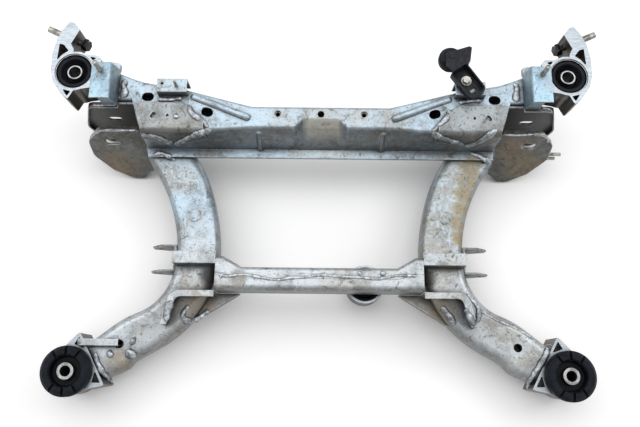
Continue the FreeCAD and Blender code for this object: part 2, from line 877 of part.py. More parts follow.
def link_bracket(rail_space):
    body = new_body("link_bracket")
    rail_side = -size("waist_x") - size("width_waist") / 2
    root, back = rail_side + 14.0, rail_side - size("wall") - 2.0
    tip = rail_side - size("link_reach")
    front, rear, wall = size("link_front_y"), size("link_rear_y"), size("wall")
    channel = flat([(root, front), (tip, front), (tip, front + wall), (back, front + wall),
                    (back, rear - wall), (tip, rear - wall), (tip, rear), (root, rear)], size("ray"))
    pad(body, sketch_on(body, "XY_Plane", channel, size("link_low")),
        "Sizes.beam_base - Sizes.link_low - 13")
    low, high = size("link_low") - 1.0, size("beam_base") - 12.0
    side = flat([(tip - 1.0, low), (tip - 1.0, low + 20.0), (rail_side - 18.0, low)], 1.0)
    pocket(body, sketch_on(body, "XZ_Plane", side), "200", True)
    nose = flat([(tip - 1.0, high), (tip - 1.0, high - 24.0), (tip + 26.0, high)], 1.0)
    pocket(body, sketch_on(body, "XZ_Plane", nose), "200", True)
    bolt = circle_on(body, "XZ_Plane", (tip + 19.0, (low + high) / 2), "link_bolt")
    pocket(body, bolt, "200", True)
    pair(trimmed("link_bracket", body, rail_space), "link_bracket")


# Upper bush housings, sawn from one profile

def upper_housing():
    body = new_body("upper_housing")
    height = "Sizes.upper_height"
    pad(body, circle_on(body, "XY_Plane", (0, 0), "upper_bore + upper_ring"), height)
    fin = flat([(-30.0, 84.0), (-43.0, 77.0), (-50.0, 40.0), (-49.0, 0.0), (-41.0, -26.0),
                (-24.0, -50.0), (-7.0, -65.0), (6.0, -40.0), (0.0, 0.0), (-6.0, 52.0), (-14.0, 66.0)], 3.0)
    pad(body, sketch_on(body, "XY_Plane", fin), height)
    ear = flat([(-44.0, 74.0), (-34.0, 97.0), (-20.0, 117.0), (-10.0, 114.0), (3.0, 98.0), (-14.0, 62.0)], 4.0)
    pad(body, sketch_on(body, "XY_Plane", ear), height)
    foot_x = size("upper_bush_x") - size("beam_half_length") - size("seat_gap")
    foot = flat([(6.0, 46.0), (27.0, 38.0), (50.0, 36.0), (foot_x, 26.0), (foot_x, -36.0),
                 (foot_x - 6.0, -36.0), (12.0, -42.0), (0.0, 0.0)], 2.0)
    pad(body, sketch_on(body, "XY_Plane", foot), height)
    pocket(body, circle_on(body, "XY_Plane", (0, 0), "upper_bore"), reverse=True)
    cells = (
        [(-37.0, 64.0), (-27.0, 61.0), (-16.0, 47.0), (-28.0, 38.0), (-39.0, 24.0)],
        [(30.0, 34.0), (46.0, 30.5), (38.0, 25.0)],
        [(-20.0, -42.0), (-2.0, -47.0), (-9.0, -58.0)],
    )
    for cell in cells:
        pocket(body, sketch_on(body, "XY_Plane", flat(cell, 1.5)), reverse=True)
    bind_place(body, "-Sizes.upper_bush_x", "Sizes.upper_bush_y", "Sizes.upper_top - Sizes.upper_height")
    hole = doc.addObject("Part::Cylinder", "ear_bolt_hole")
    bind(hole, "Radius", "Sizes.ear_bolt_radius + Sizes.seat_gap")
    bind(hole, "Height", "Sizes.ear_bolt_length * 2")
    hole.Placement = ear_bolt_place(-size("ear_bolt_length") / 2)
    pair(trimmed("upper_housing", body, hole), "upper_bush_housing")


def ear_bolt_place(along):
    """The bolt runs level from its head, outward and to the rear."""
    turn = math.radians(size("ear_bolt_turn"))
    out = Vector(-math.cos(turn), math.sin(turn), 0)
    head = Vector(-size("upper_bush_x") + 9.0, size("upper_bush_y") + 75.0, size("ear_bolt_level"))
    return Placement(head + out * along, Rotation(UP, out))


def ear_bolt():
    radius, length = size("ear_bolt_radius"), size("ear_bolt_length")
    shank = doc.addObject("Part::Cylinder", "ear_bolt_shank")
    bind(shank, "Radius", "Sizes.ear_bolt_radius")
    bind(shank, "Height", "Sizes.ear_bolt_length")
    shank.Placement = ear_bolt_place(0.0)
    head = doc.addObject("Part::Prism", "ear_bolt_head")
    head.Polygon = 6
    bind(head, "Circumradius", "Sizes.ear_bolt_radius * 1.75")
    bind(head, "Height", "Sizes.ear_bolt_radius * 1.1")
    head.Placement = ear_bolt_place(-radius * 1.1)
    collar = doc.addObject("Part::Cylinder", "ear_bolt_collar")
    bind(collar, "Radius", "Sizes.ear_bolt_radius * 2")
    collar.Height = 3.0
    collar.Placement = ear_bolt_place(0.0)
    bolt = doc.addObject("Part::MultiFuse", "ear_bolt_whole")
    bolt.Shapes = [shank, head, collar]
    doc.recompute()
    pair(bolt, "ear_bolt")


def bush(name, bore, sleeve, hole, low, high, sleeve_low, sleeve_high, rubber_points, place_at):
    """Steel can, rubber and inner sleeve, turned about one axis."""
    x, y = place_at
    can = new_body("%s_can" % name)
    gap, skin = size("seat_gap"), size("bush_can")
    revolve(can, [(bore - gap - skin, low), (bore - gap, low), (bore - gap, high), (bore - gap - skin, high)], 0.2)
    place(can, x, y, 0)
    pair(can, "%s_can" % name)
    rubber = new_body("%s_rubber" % name)
    revolve(rubber, rubber_points, 1.2)
    place(rubber, x, y, 0)
    inner = new_body("%s_sleeve" % name)
    revolve(inner, [(hole, sleeve_low), (sleeve, sleeve_low), (sleeve, sleeve_high), (hole, sleeve_high)], 1.0)
    place(inner, x, y, 0)
    pair(inner, "%s_sleeve" % name)
    return rubber


def upper_bush():
    top, gap = size("upper_top"), size("seat_gap")
    low = top - size("upper_height")
    outer = size("upper_bore") - 2 * gap - size("bush_can")
    inner = size("upper_sleeve") + gap
    points = [
        (inner, low - 5.0), (outer - 8.0, low - 5.0), (outer, low + 4.0), (outer, top - 6.0),
        (outer - 3.0, top - size("bush_drop")), (outer - 9.0, top - size("bush_drop")),
        (outer - 13.0, top - 11.0), (inner + 3.0, top - 17.0), (inner, top - 17.0)]
    rubber = bush("upper_bush", size("upper_bore"), size("upper_sleeve"), size("upper_hole"),
                  low + 2.0, top - 2.0, low - size("bush_tail"), top - 6.0, points,
                  (-size("upper_bush_x"), size("upper_bush_y")))
    pair(rubber, "upper_bush_rubber")


# Lower bush housings at the ends of the arms

def lower_bush_centre():
    end, out, _ = arm_end()
    return end + out * (size("foot_distance") + size("seat_gap"))


def lower_housing():
    body = new_body("lower_housing")
    height = "Sizes.lower_height"
    foot, half = size("foot_distance"), size("foot_half")
    ring = size("lower_bore") + size("lower_ring")
    pad(body, circle_on(body, "XY_Plane", (0, 0), "lower_bore + lower_ring"), height)
    block = flat([(foot, -half), (foot, half), (foot - 6.0, half), (0.0, ring - 3.0), (-8.0, 0.0),
                  (0.0, 3.0 - ring), (foot - 6.0, -half)], 2.0)
    pad(body, sketch_on(body, "XY_Plane", block), height)
    pocket(body, circle_on(body, "XY_Plane", (0, 0), "lower_bore"), reverse=True)
    for side in (-1, 1):
        cell = [(foot - 5.0, side * (half - 7.0)), (foot - 5.0, side * 26.0), (foot - 21.0, side * 44.5)]
        pocket(body, sketch_on(body, "XY_Plane", flat(cell, 1.5)), reverse=True)
    centre = lower_bush_centre()
    _, out, _ = arm_end()
    toward_arm = math.degrees(math.atan2(-out.y, -out.x))
    place(body, centre.x, centre.y, size("lower_top") - size("lower_height"), toward_arm)
    pair(body, "lower_bush_housing")


def lower_bush():
    gap = size("seat_gap")
    high = size("lower_top")
    low = high - size("lower_height")
    outer = size("lower_bore") - 2 * gap - size("bush_can")
    inner = size("lower_sleeve") + gap
    disc, well = size("lower_disc"), size("lower_well")
    disc_top = high + gap + size("lower_disc_height")
    points = [
        (inner, low - 8.0), (outer - 9.0, low - 8.0), (outer, low + 3.0), (outer, high + gap),
        (disc, high + gap), (disc, disc_top - 6.0), (disc - 7.0, disc_top), (well + 3.0, disc_top),
        (well, disc_top - 4.0), (well - 3.0, high + 4.0), (inner, high + 4.0)]
    centre = lower_bush_centre()
    rubber = bush("lower_bush", size("lower_bore"), size("lower_sleeve"), size("lower_hole"),
                  low + 2.0, high - 0.5, 0.0, size("lower_sleeve_top"), points, (centre.x, centre.y))
    for middle in (90.0, 270.0):
        for step in (-1, 0, 1):
            cut = math.radians(middle + step * size("groove_step"))
            out = Vector(math.cos(cut), math.sin(cut), 0)
            side = Vector(-out.y, out.x, 0) * (size("groove_width") / 2)
            near, far = out * (well - 2.0), out * (disc + 2.0)
            groove = rounded([(near - side, size("ray")), (far - side, size("ray")),
                              (far + side, size("ray")), (near + side, size("ray"))])
            pocket(rubber, sketch_on(rubber, "XY_Plane", groove, disc_top), "Sizes.groove_depth")
    pair(rubber, "lower_bush_rubber")


# Box brackets, cap plates and small brackets on the crossbeam

def box_bracket(beam_space):
    gap, wall = size("seat_gap"), size("wall")
    over = size("upper_top") + gap
    outer = -size("upper_bush_x") + size("upper_bore") - 2.0
    inner, slope = -size("box_inner_x"), size("box_slope")
    base = size("beam_wing_top") + gap
    front, rear = size("box_front"), size("box_rear")
    depth = rear - front
    profile = [
        (Vector(outer, front, over), 1.0), (Vector(outer, front, over + wall), 1.0),
        (Vector(inner, front, over + wall), 7.0), (Vector(inner + slope, front, base), 1.0),
        (Vector(inner + slope - wall, front, base), 1.0), (Vector(inner - wall, front, over), 3.0),
    ]
    skin = prism(profile, depth, Vector(0, 1, 0))
    flange_outer = -size("beam_half_length") + gap
    cheek = [
        (Vector(flange_outer, front, over + wall / 2), 1.0),
        (Vector(inner - wall, front, over + wall / 2), 1.0),
        (Vector(inner + slope - wall / 2, front, base), 1.0),
        (Vector(flange_outer, front, base), 1.0),
    ]
    near = prism(cheek, wall, Vector(0, 1, 0))
    far = near.copy()
    far.translate(Vector(0, depth - wall, 0))
    shape = skin.fuse([near, far])
    pair(trimmed("box_bracket", from_shape("box_bracket_raw", shape), beam_space), "box_bracket")
    stud = doc.addObject("Part::Cylinder", "box_stud_shank")
    bind(stud, "Radius", "Sizes.stud_radius")
    bind(stud, "Height", "Sizes.stud_length")
    lean = Rotation(UP, Vector(-0.12, 0.0, 1.0))
    stud.Placement = Placement(Vector((outer + inner) / 2, rear - 18.0, over + wall + gap), lean)
    doc.recompute()
    pair(stud, "box_stud")


def cap_plate():
    wall, gap = size("wall"), size("seat_gap")
    inner, outer = -size("cap_inner_x"), -size("shoulder_span") - size("cap_overhang")
    rear = size("cap_rear")
    front = size("toe_middle") - 20.0
    knee = size("beam_knee")
    top = [
        (Vector(outer - 8.0, rear, knee), 3.0), (Vector(outer + 6.0, front, knee), 3.0),
        (Vector(inner, front, knee), 3.0), (Vector(inner - 5.0, rear - 45.0, knee), 6.0),
        (Vector(inner - 42.0, rear - 6.0, knee), 8.0), (Vector(inner - 54.0, rear, knee), 4.0),
    ]
    face = [
        (Vector(outer + 6.0, 0, knee + 8.0), 2.0), (Vector(outer + 6.0, 0, knee - 5.0), 2.0),
        (Vector(-size("cap_point_x"), 0, size("cap_point_z")), 8.0), (Vector(inner, 0, knee - 5.0), 2.0),
        (Vector(inner, 0, knee + 8.0), 2.0),
    ]
    reach = prism(top, 60.0).fuse(prism(face, size("front_middle"), Vector(0, 1, 0)))
    skin = beam_loft(gap + wall, seam_level()).cut(beam_loft(gap, seam_level()))
    plate = skin.common(reach)
    height = size("beam_wing_top") - wall
    small = Part.makeCylinder(size("stud_radius"), 5 * wall, Vector(-329.0, 190.0, height))
    slanted = slot_tool(14.0, 9.0, 5 * wall)
    slanted.rotate(Vector(0, 0, 0), UP, 60.0)
    slanted.translate(Vector(-360.0, 190.0, height))
    plate = plate.cut([small, slanted])
    pair(from_shape("cap_plate_skin", plate), "cap_plate")


def perch(beam_space):
    body = new_body("perch")
    wall = size("wall")
    front, rear, top = size("perch_front"), size("perch_rear"), size("perch_top")
    low = size("beam_wing_top") - 22.0
    channel = flat([(front, low), (front, top), (rear, top), (rear, low), (rear - wall, low),
                    (rear - wall, top - wall), (front + wall, top - wall), (front + wall, low)], 1.5)
    pad(body, sketch_on(body, "YZ_Plane", channel), "Sizes.perch_outer_x - Sizes.perch_inner_x")
    round_hole = circle_on(body, "XY_Plane", (11.0, (front + rear) / 2 + 4.0), "stud_radius", top)
    pocket(body, round_hole, "Sizes.wall * 2")
    bind(body, "Placement.Base.x", "-Sizes.perch_outer_x")
    pair(trimmed("perch", body, beam_space), "perch")
    stud = doc.addObject("Part::Cylinder", "perch_stud")
    bind(stud, "Radius", "Sizes.stud_radius")
    stud.Height = 22.0
    place(stud, -size("perch_outer_x") + 42.0, (front + rear) / 2 - 2.0, top + size("seat_gap"))
    keep(stud, "perch_stud")


def rear_tab(beam_space):
    """A short upright lip behind the box bracket."""
    body = new_body("rear_tab")
    lip = flat([(-468.0, 302.0), (-441.0, 296.0), (-441.0, 312.0), (-468.0, 317.0)], 2.0)
    pad(body, sketch_on(body, "XY_Plane", lip), "Sizes.wall * 3")
    place(body, 0, 0, size("beam_wing_top") - 3 * size("wall"))
    pair(trimmed("rear_tab", body, beam_space), "rear_tab")


# Differential bush under the narrow crossbeam

def differential_bush():
    top = size("tie_base")
    low = top - size("diff_height")
    gap = size("seat_gap")
    ring = new_body("diff_ring")
    pad(ring, circle_on(ring, "XY_Plane", (0, 0), "diff_radius", low), "Sizes.diff_height")
    pocket(ring, circle_on(ring, "XY_Plane", (0, 0), "diff_bore"), reverse=True)
    place(ring, size("diff_x"), size("diff_y"), 0)
    keep(ring, "differential_bush_ring")
    rubber = new_body("diff_rubber")
    outer, inner = size("diff_bore") - gap, size("diff_sleeve") + gap
    revolve(rubber, [(inner, low + 4.0), (outer, low + 2.0), (outer, top - 4.0), (outer - 5.0, top - 2.0),
                     (outer - 9.0, top - 9.0), (inner, top - 9.0)], 1.0)
    place(rubber, size("diff_x"), size("diff_y"), 0)
    keep(rubber, "differential_bush_rubber")
    sleeve = new_body("diff_sleeve")
    revolve(sleeve, [(size("diff_hole"), low - 4.0), (size("diff_sleeve"), low - 4.0),
                     (size("diff_sleeve"), top - 2.0), (size("diff_hole"), top - 2.0)], 0.8)
    place(sleeve, size("diff_x"), size("diff_y"), 0)
    keep(sleeve, "differential_bush_sleeve")


# Exhaust hanger on the right wing

def hanger_frame():
    """The strap's own frame: +Y runs along the strap, away from its rounded end."""
    base = Vector(size("hanger_base_x"), size("hanger_base_y"), size("perch_top") + size("seat_gap"))
    return Placement(base, Rotation(UP, size("hanger_turn")))


def strap_outline(inset_by, longer):
    half, length = size("hanger_width") / 2, size("hanger_length")
    nose = half * 0.55 - inset_by
    return [
        (Vector(-half + inset_by, -4.0 + inset_by, 0), nose), (Vector(half - inset_by, -4.0 + inset_by, 0), nose),
        (Vector(half - inset_by, length + longer, 0), 1.0), (Vector(-half + inset_by, length + longer, 0), 1.0),
    ]


def hanger_bracket():
    """A tray on the perch, a riser at its end, and a level flap with a horn above the rubber."""
    wall, half = size("wall") * 0.75, size("hanger_width") / 2
    length, lip, rise = size("hanger_length"), size("hanger_lip"), size("hanger_rise")
    tray = prism(strap_outline(0.0, 0.0), lip)
    tray = tray.cut(prism(strap_outline(wall, 5.0), lip).translated(Vector(0, 0, wall)))
    along = size("hanger_bolt_along")
    tray = tray.cut(Part.makeCylinder(5.4, 20.0, Vector(0, along, -5.0)))
    tray = tray.cut(Part.makeBox(14.0, 9.0, 20.0, Vector(-7.0, along * 0.25, -5.0)))
    riser = Part.makeBox(2 * half, wall, rise + wall, Vector(-half, length - wall, 0))
    flap = [
        (Vector(-half, length - wall, 0), 1.0), (Vector(half, length - wall, 0), 1.0),
        (Vector(2 * half, length + 21.0, 0), 3.0), (Vector(1.8 * half, length + 26.0, 0), 3.0),
        (Vector(-0.5 * half, length + 40.0, 0), 8.0), (Vector(-1.25 * half, length + 16.0, 0), 8.0),
    ]
    plate = prism(flap, wall).translated(Vector(0, 0, rise))
    hole = Vector(size("barrel_across"), size("barrel_along"), rise - wall)
    plate = plate.cut(Part.makeCylinder(size("barrel_pin") + size("seat_gap"), 4 * wall, hole))
    bracket = from_shape("hanger_strap", tray.fuse([riser, plate]).removeSplitter())
    bracket.Placement = hanger_frame()
    keep(bracket, "exhaust_hanger_bracket")


def hanger_rubber():
    """A stepped rubber hung under the flap on a pin."""
    radius, long, gap = size("barrel_radius"), size("barrel_length"), size("seat_gap")
    bore, step = size("barrel_pin") + gap, size("barrel_length") / 6
    barrel = new_body("barrel")
    revolve(barrel, [
        (bore, 0.0), (radius * 0.58, 0.0), (radius * 0.64, step * 0.7), (radius * 0.82, step * 1.1),
        (radius * 0.82, step * 2.1), (radius, step * 2.6), (radius, step * 4.7), (radius * 0.86, step * 5.2),
        (radius * 0.8, long), (bore, long)], 1.2)
    low = hanger_frame().multVec(Vector(size("barrel_across"), size("barrel_along"), size("hanger_rise") - gap - long))
    barrel.Placement = Placement(low, Rotation(UP, size("hanger_turn")))
    keep(barrel, "exhaust_hanger_rubber")
    pin = doc.addObject("Part::Cylinder", "hanger_pin_shank")
    bind(pin, "Radius", "Sizes.barrel_pin")
    bind(pin, "Height", "Sizes.barrel_length + Sizes.wall + 6")
    pin.Placement = Placement(low - UP * 5.0, Rotation())
    keep(pin, "exhaust_hanger_pin")


def hanger_bolt():
    wall, gap = size("wall") * 0.75, size("seat_gap")
    seat = hanger_frame().multVec(Vector(0, size("hanger_bolt_along"), wall + gap))
    spin = Rotation(UP, size("hanger_turn"))
    washer = doc.addObject("Part::Cylinder", "hanger_washer")
    washer.Radius = 11.0
    washer.Height = 2.5
    washer.Placement = Placement(seat, spin)
    head = doc.addObject("Part::Prism", "hanger_bolt_head")
    head.Polygon = 6
    head.Circumradius = 8.5
    head.Height = 7.0
    head.Placement = Placement(seat + UP * 2.5, spin)
    bolt = doc.addObject("Part::MultiFuse", "hanger_bolt_whole")
    bolt.Shapes = [washer, head]
    doc.recompute()
    keep(bolt, "exhaust_hanger_bolt")


def hanger():
    hanger_bracket()
    hanger_rubber()
    hanger_bolt()


def sensor_bracket(rail):
    """An angle strip over the left arm, on one foot welded to the arm."""
    body = new_body("sensor_angle")
    width, lift, wall = size("sensor_width"), size("sensor_lift"), size("wall") * 0.75
    angle = flat([(0, 0), (0, lift + wall), (width, lift + wall), (width, lift), (wall, lift), (wall, 0)], 0.6)
    pad(body, sketch_on(body, "YZ_Plane", angle), "Sizes.sensor_length")
    foot = flat([(0, -8.0), (0, 2.0), (wall, 2.0), (wall, -8.0)], 0.6)
    pad(body, sketch_on(body, "YZ_Plane", foot, size("sensor_length") * 0.45), "Sizes.sensor_length * 0.55")
    place(body, -504.0, -290.0, size("lower_top") + size("seat_gap"))
    keep(trimmed("sensor", body, rail), "sensor_bracket")


def side_pins():
    """Two short pins that stick out of the right-hand bracket."""
    pins = []
    for out, y, z, long in ((119.0, 151.0, 96.0, 26.0), (118.75, 146.0, 82.0, 17.0)):
        pins.append(Part.makeCylinder(4.0, long, Vector(out - ear_inner(), y, z), ALONG_X))
    keep(from_shape("pins", Part.makeCompound(pins)), "bracket_pins")


def check_and_write():
    doc.recompute()
    for item in doc.Objects:
        if "Invalid" in item.State or "Error" in item.State:
            raise RuntimeError("%s failed: %s" % (item.Label, item.State))
    os.makedirs("parts", exist_ok=True)
    for item in pieces:
        shape = item.Shape
        if shape.isNull() or not shape.isValid() or shape.Volume <= 0:
            raise RuntimeError("%s has no good shape" % item.Label)
        box = shape.BoundBox
        print("%-28s solids %d  volume %9.0f  x %.1f %.1f  y %.1f %.1f  z %.1f %.1f" % (
            item.Label, len(shape.Solids), shape.Volume,
            box.XMin, box.XMax, box.YMin, box.YMax, box.ZMin, box.ZMax))
        shape.exportStep("parts/%s.step" % item.Label)
    print("pieces", len(pieces))


def main():
    wide_crossbeam()
    crossbeam_nuts()
    rails()
    narrow_crossbeam()
    rail = from_shape("rail_space", rail_space(size("trim_gap")))
    beam = from_shape("beam_space", beam_envelope(size("trim_gap")))
    pocket_rear(rail)
    pocket_front(rail)
    gusset(rail)
    rear_ear(rail, beam)
    front_dish(rail, beam)
    bracket_web(rail, beam)
    link_bracket(rail)
    upper_housing()
    ear_bolt()
    upper_bush()
    lower_housing()
    lower_bush()
    box_bracket(beam)
    cap_plate()
    perch(beam)
    rear_tab(beam)
    differential_bush()
    hanger()
    sensor_bracket(rail)
    side_pins()
    check_and_write()


main()
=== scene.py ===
import json
import math
import random
from collections import namedtuple

import bmesh
import bpy
from mathutils import Matrix, Vector
from mathutils.bvhtree import BVHTree


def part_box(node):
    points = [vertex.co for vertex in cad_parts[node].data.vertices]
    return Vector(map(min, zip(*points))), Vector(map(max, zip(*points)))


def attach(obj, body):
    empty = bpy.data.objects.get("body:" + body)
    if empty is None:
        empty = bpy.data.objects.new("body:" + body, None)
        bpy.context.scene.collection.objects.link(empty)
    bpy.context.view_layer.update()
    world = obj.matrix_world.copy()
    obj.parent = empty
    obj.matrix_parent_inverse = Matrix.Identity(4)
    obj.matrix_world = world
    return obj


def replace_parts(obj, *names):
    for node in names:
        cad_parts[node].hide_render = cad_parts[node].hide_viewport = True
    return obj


MM = 0.001

# The photograph's view: over the lower bushes, tilted a little toward the wide crossbeam
VIEW_REACH = 640.0
VIEW_MIDDLE = (320.0, 213.5)
EYE = (0.0, -0.355, 1.480)
TILT = math.atan(166.5 / VIEW_REACH)
ROLL = math.radians(0.6)
VIEW = Matrix.Translation(EYE) @ Matrix.Rotation(TILT, 4, "X") @ Matrix.Rotation(ROLL, 4, "Z")
SENSOR_WIDTH = 36.0

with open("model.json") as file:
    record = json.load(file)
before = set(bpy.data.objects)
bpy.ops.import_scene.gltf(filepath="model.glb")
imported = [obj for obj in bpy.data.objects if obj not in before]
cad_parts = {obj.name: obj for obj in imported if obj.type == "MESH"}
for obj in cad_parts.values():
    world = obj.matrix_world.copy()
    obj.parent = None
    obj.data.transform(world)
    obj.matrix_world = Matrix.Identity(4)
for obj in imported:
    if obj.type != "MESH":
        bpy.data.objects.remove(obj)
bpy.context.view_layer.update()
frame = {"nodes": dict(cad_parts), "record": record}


# Finishes: values and colours inside a material, written as sums and products

def grey(level, blue=0.0):
    """A grey, cooler where blue is above 0 and warmer below."""
    return (level * (1 - blue), level, level * (1 + blue))


def opaque(colour):
    """Adds the fourth part that a socket wants to a written colour; a worked-out one stays as it is."""
    return colour if isinstance(colour, Reading) else (*colour, 1.0)


class Reading:
    """One value or colour, worked out at each point of a surface."""

    def __init__(self, nodes, socket):
        self.nodes = nodes
        self.socket = socket

    def maths(self, operation, *values):
        return self.nodes.node("ShaderNodeMath", {"operation": operation}, dict(enumerate(values)))

    def __add__(self, other):
        return self.maths("ADD", self, other)

    def __radd__(self, other):
        return self.maths("ADD", other, self)

    def __sub__(self, other):
        return self.maths("SUBTRACT", self, other)

    def __rsub__(self, other):
        return self.maths("SUBTRACT", other, self)

    def __mul__(self, other):
        return self.maths("MULTIPLY", self, other)

    def __rmul__(self, other):
        return self.maths("MULTIPLY", other, self)

    def __truediv__(self, other):
        return self.maths("DIVIDE", self, other)

    def __rtruediv__(self, other):
        return self.maths("DIVIDE", other, self)

    def __abs__(self):
        return self.maths("ABSOLUTE", self)

    def either(self, other):
        """The larger of the two."""
        return self.maths("MAXIMUM", self, other)

    def rise(self, low, high):
        """0 below low, 1 above high, smooth between; low may be the larger."""
        sockets = {"Value": self, "From Min": low, "From Max": high}
        return self.nodes.node("ShaderNodeMapRange", {"interpolation_type": "SMOOTHSTEP"}, sockets)

    def to(self, low, high):
        """Stretches 0 to 1 onto low to high."""
        return self * (high - low) + low


class Nodes:
    """The nodes of a material, or of the world around the object."""

    def __init__(self, tree):
        self.tree = tree
        tree.nodes.clear()

    def node(self, kind, settings=None, sockets=None, out=0):
        """Adds a node: first its settings, then the values or links of its sockets."""
        made = self.tree.nodes.new(kind)
        for key, value in (settings or {}).items():
            setattr(made, key, value)
        for key, value in (sockets or {}).items():
            if isinstance(value, Reading):
                self.tree.links.new(value.socket, made.inputs[key])
            else:
                made.inputs[key].default_value = value
        return Reading(self, made.outputs[out]) if made.outputs else None

    def seen(self):
        """1 where the camera or a mirroring surface looks, 0 where only light arrives."""
        camera = self.node("ShaderNodeLightPath", out="Is Camera Ray")
        mirror = self.node("ShaderNodeLightPath", out="Is Glossy Ray")
        return camera.either(mirror)


class Finish(Nodes):
    """A material of this object, with its nodes."""

    def __init__(self, name):
        self.material = bpy.data.materials.new(name)
        self.material.use_nodes = True
        super().__init__(self.material.node_tree)
        self.place = self.node("ShaderNodeTexCoord", out="Object")

    def noise(self, scale, detail=3.0, roughness=0.55, distortion=0.0, place=None):
        """Cloudy readings from 0 to 1, with the given number of clouds in a metre."""
        sockets = {"Vector": place or self.place, "Scale": scale, "Detail": detail,
                   "Roughness": roughness, "Distortion": distortion}
        return self.node("ShaderNodeTexNoise", None, sockets)

    def stretched(self, x, y, z, turn=0.0):
        """The place on the object, squeezed along its axes, for grain that runs one way."""
        sockets = {"Vector": self.place, "Scale": (x, y, z), "Rotation": (0.0, 0.0, turn)}
        return self.node("ShaderNodeMapping", None, sockets)

    def mix(self, one, two, share):
        """The first colour, gone over to the second by a share from 0 to 1."""
        sockets = {0: share, 6: opaque(one), 7: opaque(two)}
        return self.node("ShaderNodeMix", {"data_type": "RGBA"}, sockets, 2)

    def coats(self, colour, *coats):
        """Lays coats over a colour.

        Each coat has its own colour, the readings that let it in between a low and a high one, and its share.
        """
        for own, readings, low, high, share in coats:
            colour = self.mix(colour, own, readings.rise(low, high) * share)
        return colour

    def part_of_normal(self, axis):
        normal = self.node("ShaderNodeNewGeometry", out="Normal")
        return self.node("ShaderNodeSeparateXYZ", None, {0: normal}, axis)

    def part_of_place(self, axis):
        return self.node("ShaderNodeSeparateXYZ", None, {0: self.place}, axis)

    def distance_to(self, x, y, z):
        """Metres to a spot that is given in millimetres."""
        sockets = {0: self.place, 1: (x * MM, y * MM, z * MM)}
        return self.node("ShaderNodeVectorMath", {"operation": "DISTANCE"}, sockets, "Value")

    def patches(self, spots, ragged=0.0):
        """1 at spots given in millimetres, each fading to 0 past its radius, with a ragged edge."""
        found = None
        for spot, radius in spots:
            here = (self.distance_to(*spot) / (radius * MM) + ragged).rise(1.25, 0.55)
            found = found.either(here) if found else here
        return found

    def crevice(self, reach):
        """1 in corners and under edges, 0 on open faces."""
        return 1.0 - self.node("ShaderNodeAmbientOcclusion", {"samples": 6}, {"Distance": reach}, "AO")

    def rounded_normal(self, radius):
        """The surface's direction with its sharp edges broken, as on a real sheet or saw cut."""
        return self.node("ShaderNodeBevel", {"samples": 4}, {"Radius": radius})

    def edge_wear_and_highlight(self, soft):
        """1 along outer and inner edges, 0 on flat faces."""
        normal = self.node("ShaderNodeNewGeometry", out="Normal")
        along = self.node("ShaderNodeVectorMath", {"operation": "DOT_PRODUCT"}, {0: soft, 1: normal}, "Value")
        return (1.0 - along).rise(0.01, 0.14)

    def bump(self, height, depth, strength, soft=None):
        sockets = {"Height": height, "Distance": depth, "Strength": strength}
        if soft is not None:
            sockets["Normal"] = soft
        return self.node("ShaderNodeBump", None, sockets)

    def shade(self, sockets):
        return self.finish_with(self.node("ShaderNodeBsdfPrincipled", None, sockets))

    def finish_with(self, surface):
        self.node("ShaderNodeOutputMaterial", None, {"Surface": surface})
        return self.material


# Radii in metres of the broken edges: of thin sheet, of thick sheet, of cut or turned metal, and of rubber
SHEET_EDGE, THICK_EDGE, CUT_EDGE, RUBBER_EDGE = 0.0024, 0.0034, 0.0012, 0.0015
# Stains on the sheets, and painted shade at the open beam ends: their spots and radii in millimetres
TAN_STAINS = (
    ((478, 130, 60), 44), ((440, 150, 120), 40), ((-170, -150, 150), 22), ((260, -140, 150), 26),
    ((-262, -205, 100), 40), ((262, -205, 100), 34), ((-420, -320, 100), 30), ((-470, 120, 60), 50),
)
YELLOW_STAINS = (
    ((334, 108, 118), 27), ((328, 76, 118), 27), ((318, 44, 118), 27), ((311, 12, 118), 25),
    ((306, -20, 118), 22), ((304, -50, 112), 18), ((345, 128, 110), 20),
)
# Painted shade where the open beam ends look dark
SHADE_AT_BEAM_ENDS = (((224, -142, 118), 27), ((-230, -142, 118), 27))
TAN, YELLOW, SPECKLES = (0.225, 0.165, 0.095), (0.29, 0.225, 0.115), (0.13, 0.10, 0.065)
# Colour of the dirt and painted shade in the sheets' corners and creases
SHEET_SHADE_AND_GRIME = (0.026, 0.022, 0.018)
# The flat pad in the middle of the wide crossbeam: its middle, half width and foot in metres, and its colour,
# a tan tone lightened with painted light
PAD_MIDDLE, PAD_HALF_WIDTH, PAD_FOOT, PAD_COLOUR = 0.005, 0.037, 0.140, (0.49, 0.465, 0.40)
# Half the width of the painted shade of the dark hollow in a lower bush's rubber, in metres
WELL_RADIUS = 0.032
# How far off the middle an ear bolt's black head ends, in metres
EAR_BOLT_HEAD = 0.530

# A sheet's light and middle shade at the front and at the rear, then its warm and dark shade, and the painted
# shade of its sides
Tones = namedtuple("Tones", "front_light front_mid rear_light rear_mid warm dark side")
# The bluish light shades carry a painted sky reflection
BEAM_TONES = Tones(
    (0.42, 0.455, 0.482), (0.235, 0.248, 0.255), (0.345, 0.43, 0.50), (0.190, 0.227, 0.255),
    (0.275, 0.255, 0.215), (0.068, 0.062, 0.054), (0.112, 0.110, 0.102))
BOX_TONES = Tones(
    (0.40, 0.46, 0.50), (0.25, 0.28, 0.30), (0.31, 0.44, 0.53), (0.205, 0.285, 0.34),
    (0.27, 0.31, 0.33), (0.09, 0.095, 0.10), (0.11, 0.12, 0.125))
CAP_TONES = Tones(
    (0.255, 0.275, 0.285), (0.155, 0.160, 0.158), (0.255, 0.280, 0.295), (0.155, 0.162, 0.162),
    (0.18, 0.158, 0.125), (0.045, 0.041, 0.036), (0.085, 0.079, 0.068))
DISH_TONES = Tones(
    (0.235, 0.24, 0.23), (0.145, 0.146, 0.14), (0.235, 0.24, 0.232), (0.145, 0.147, 0.142),
    (0.155, 0.138, 0.11), (0.026, 0.023, 0.020), (0.044, 0.043, 0.038))
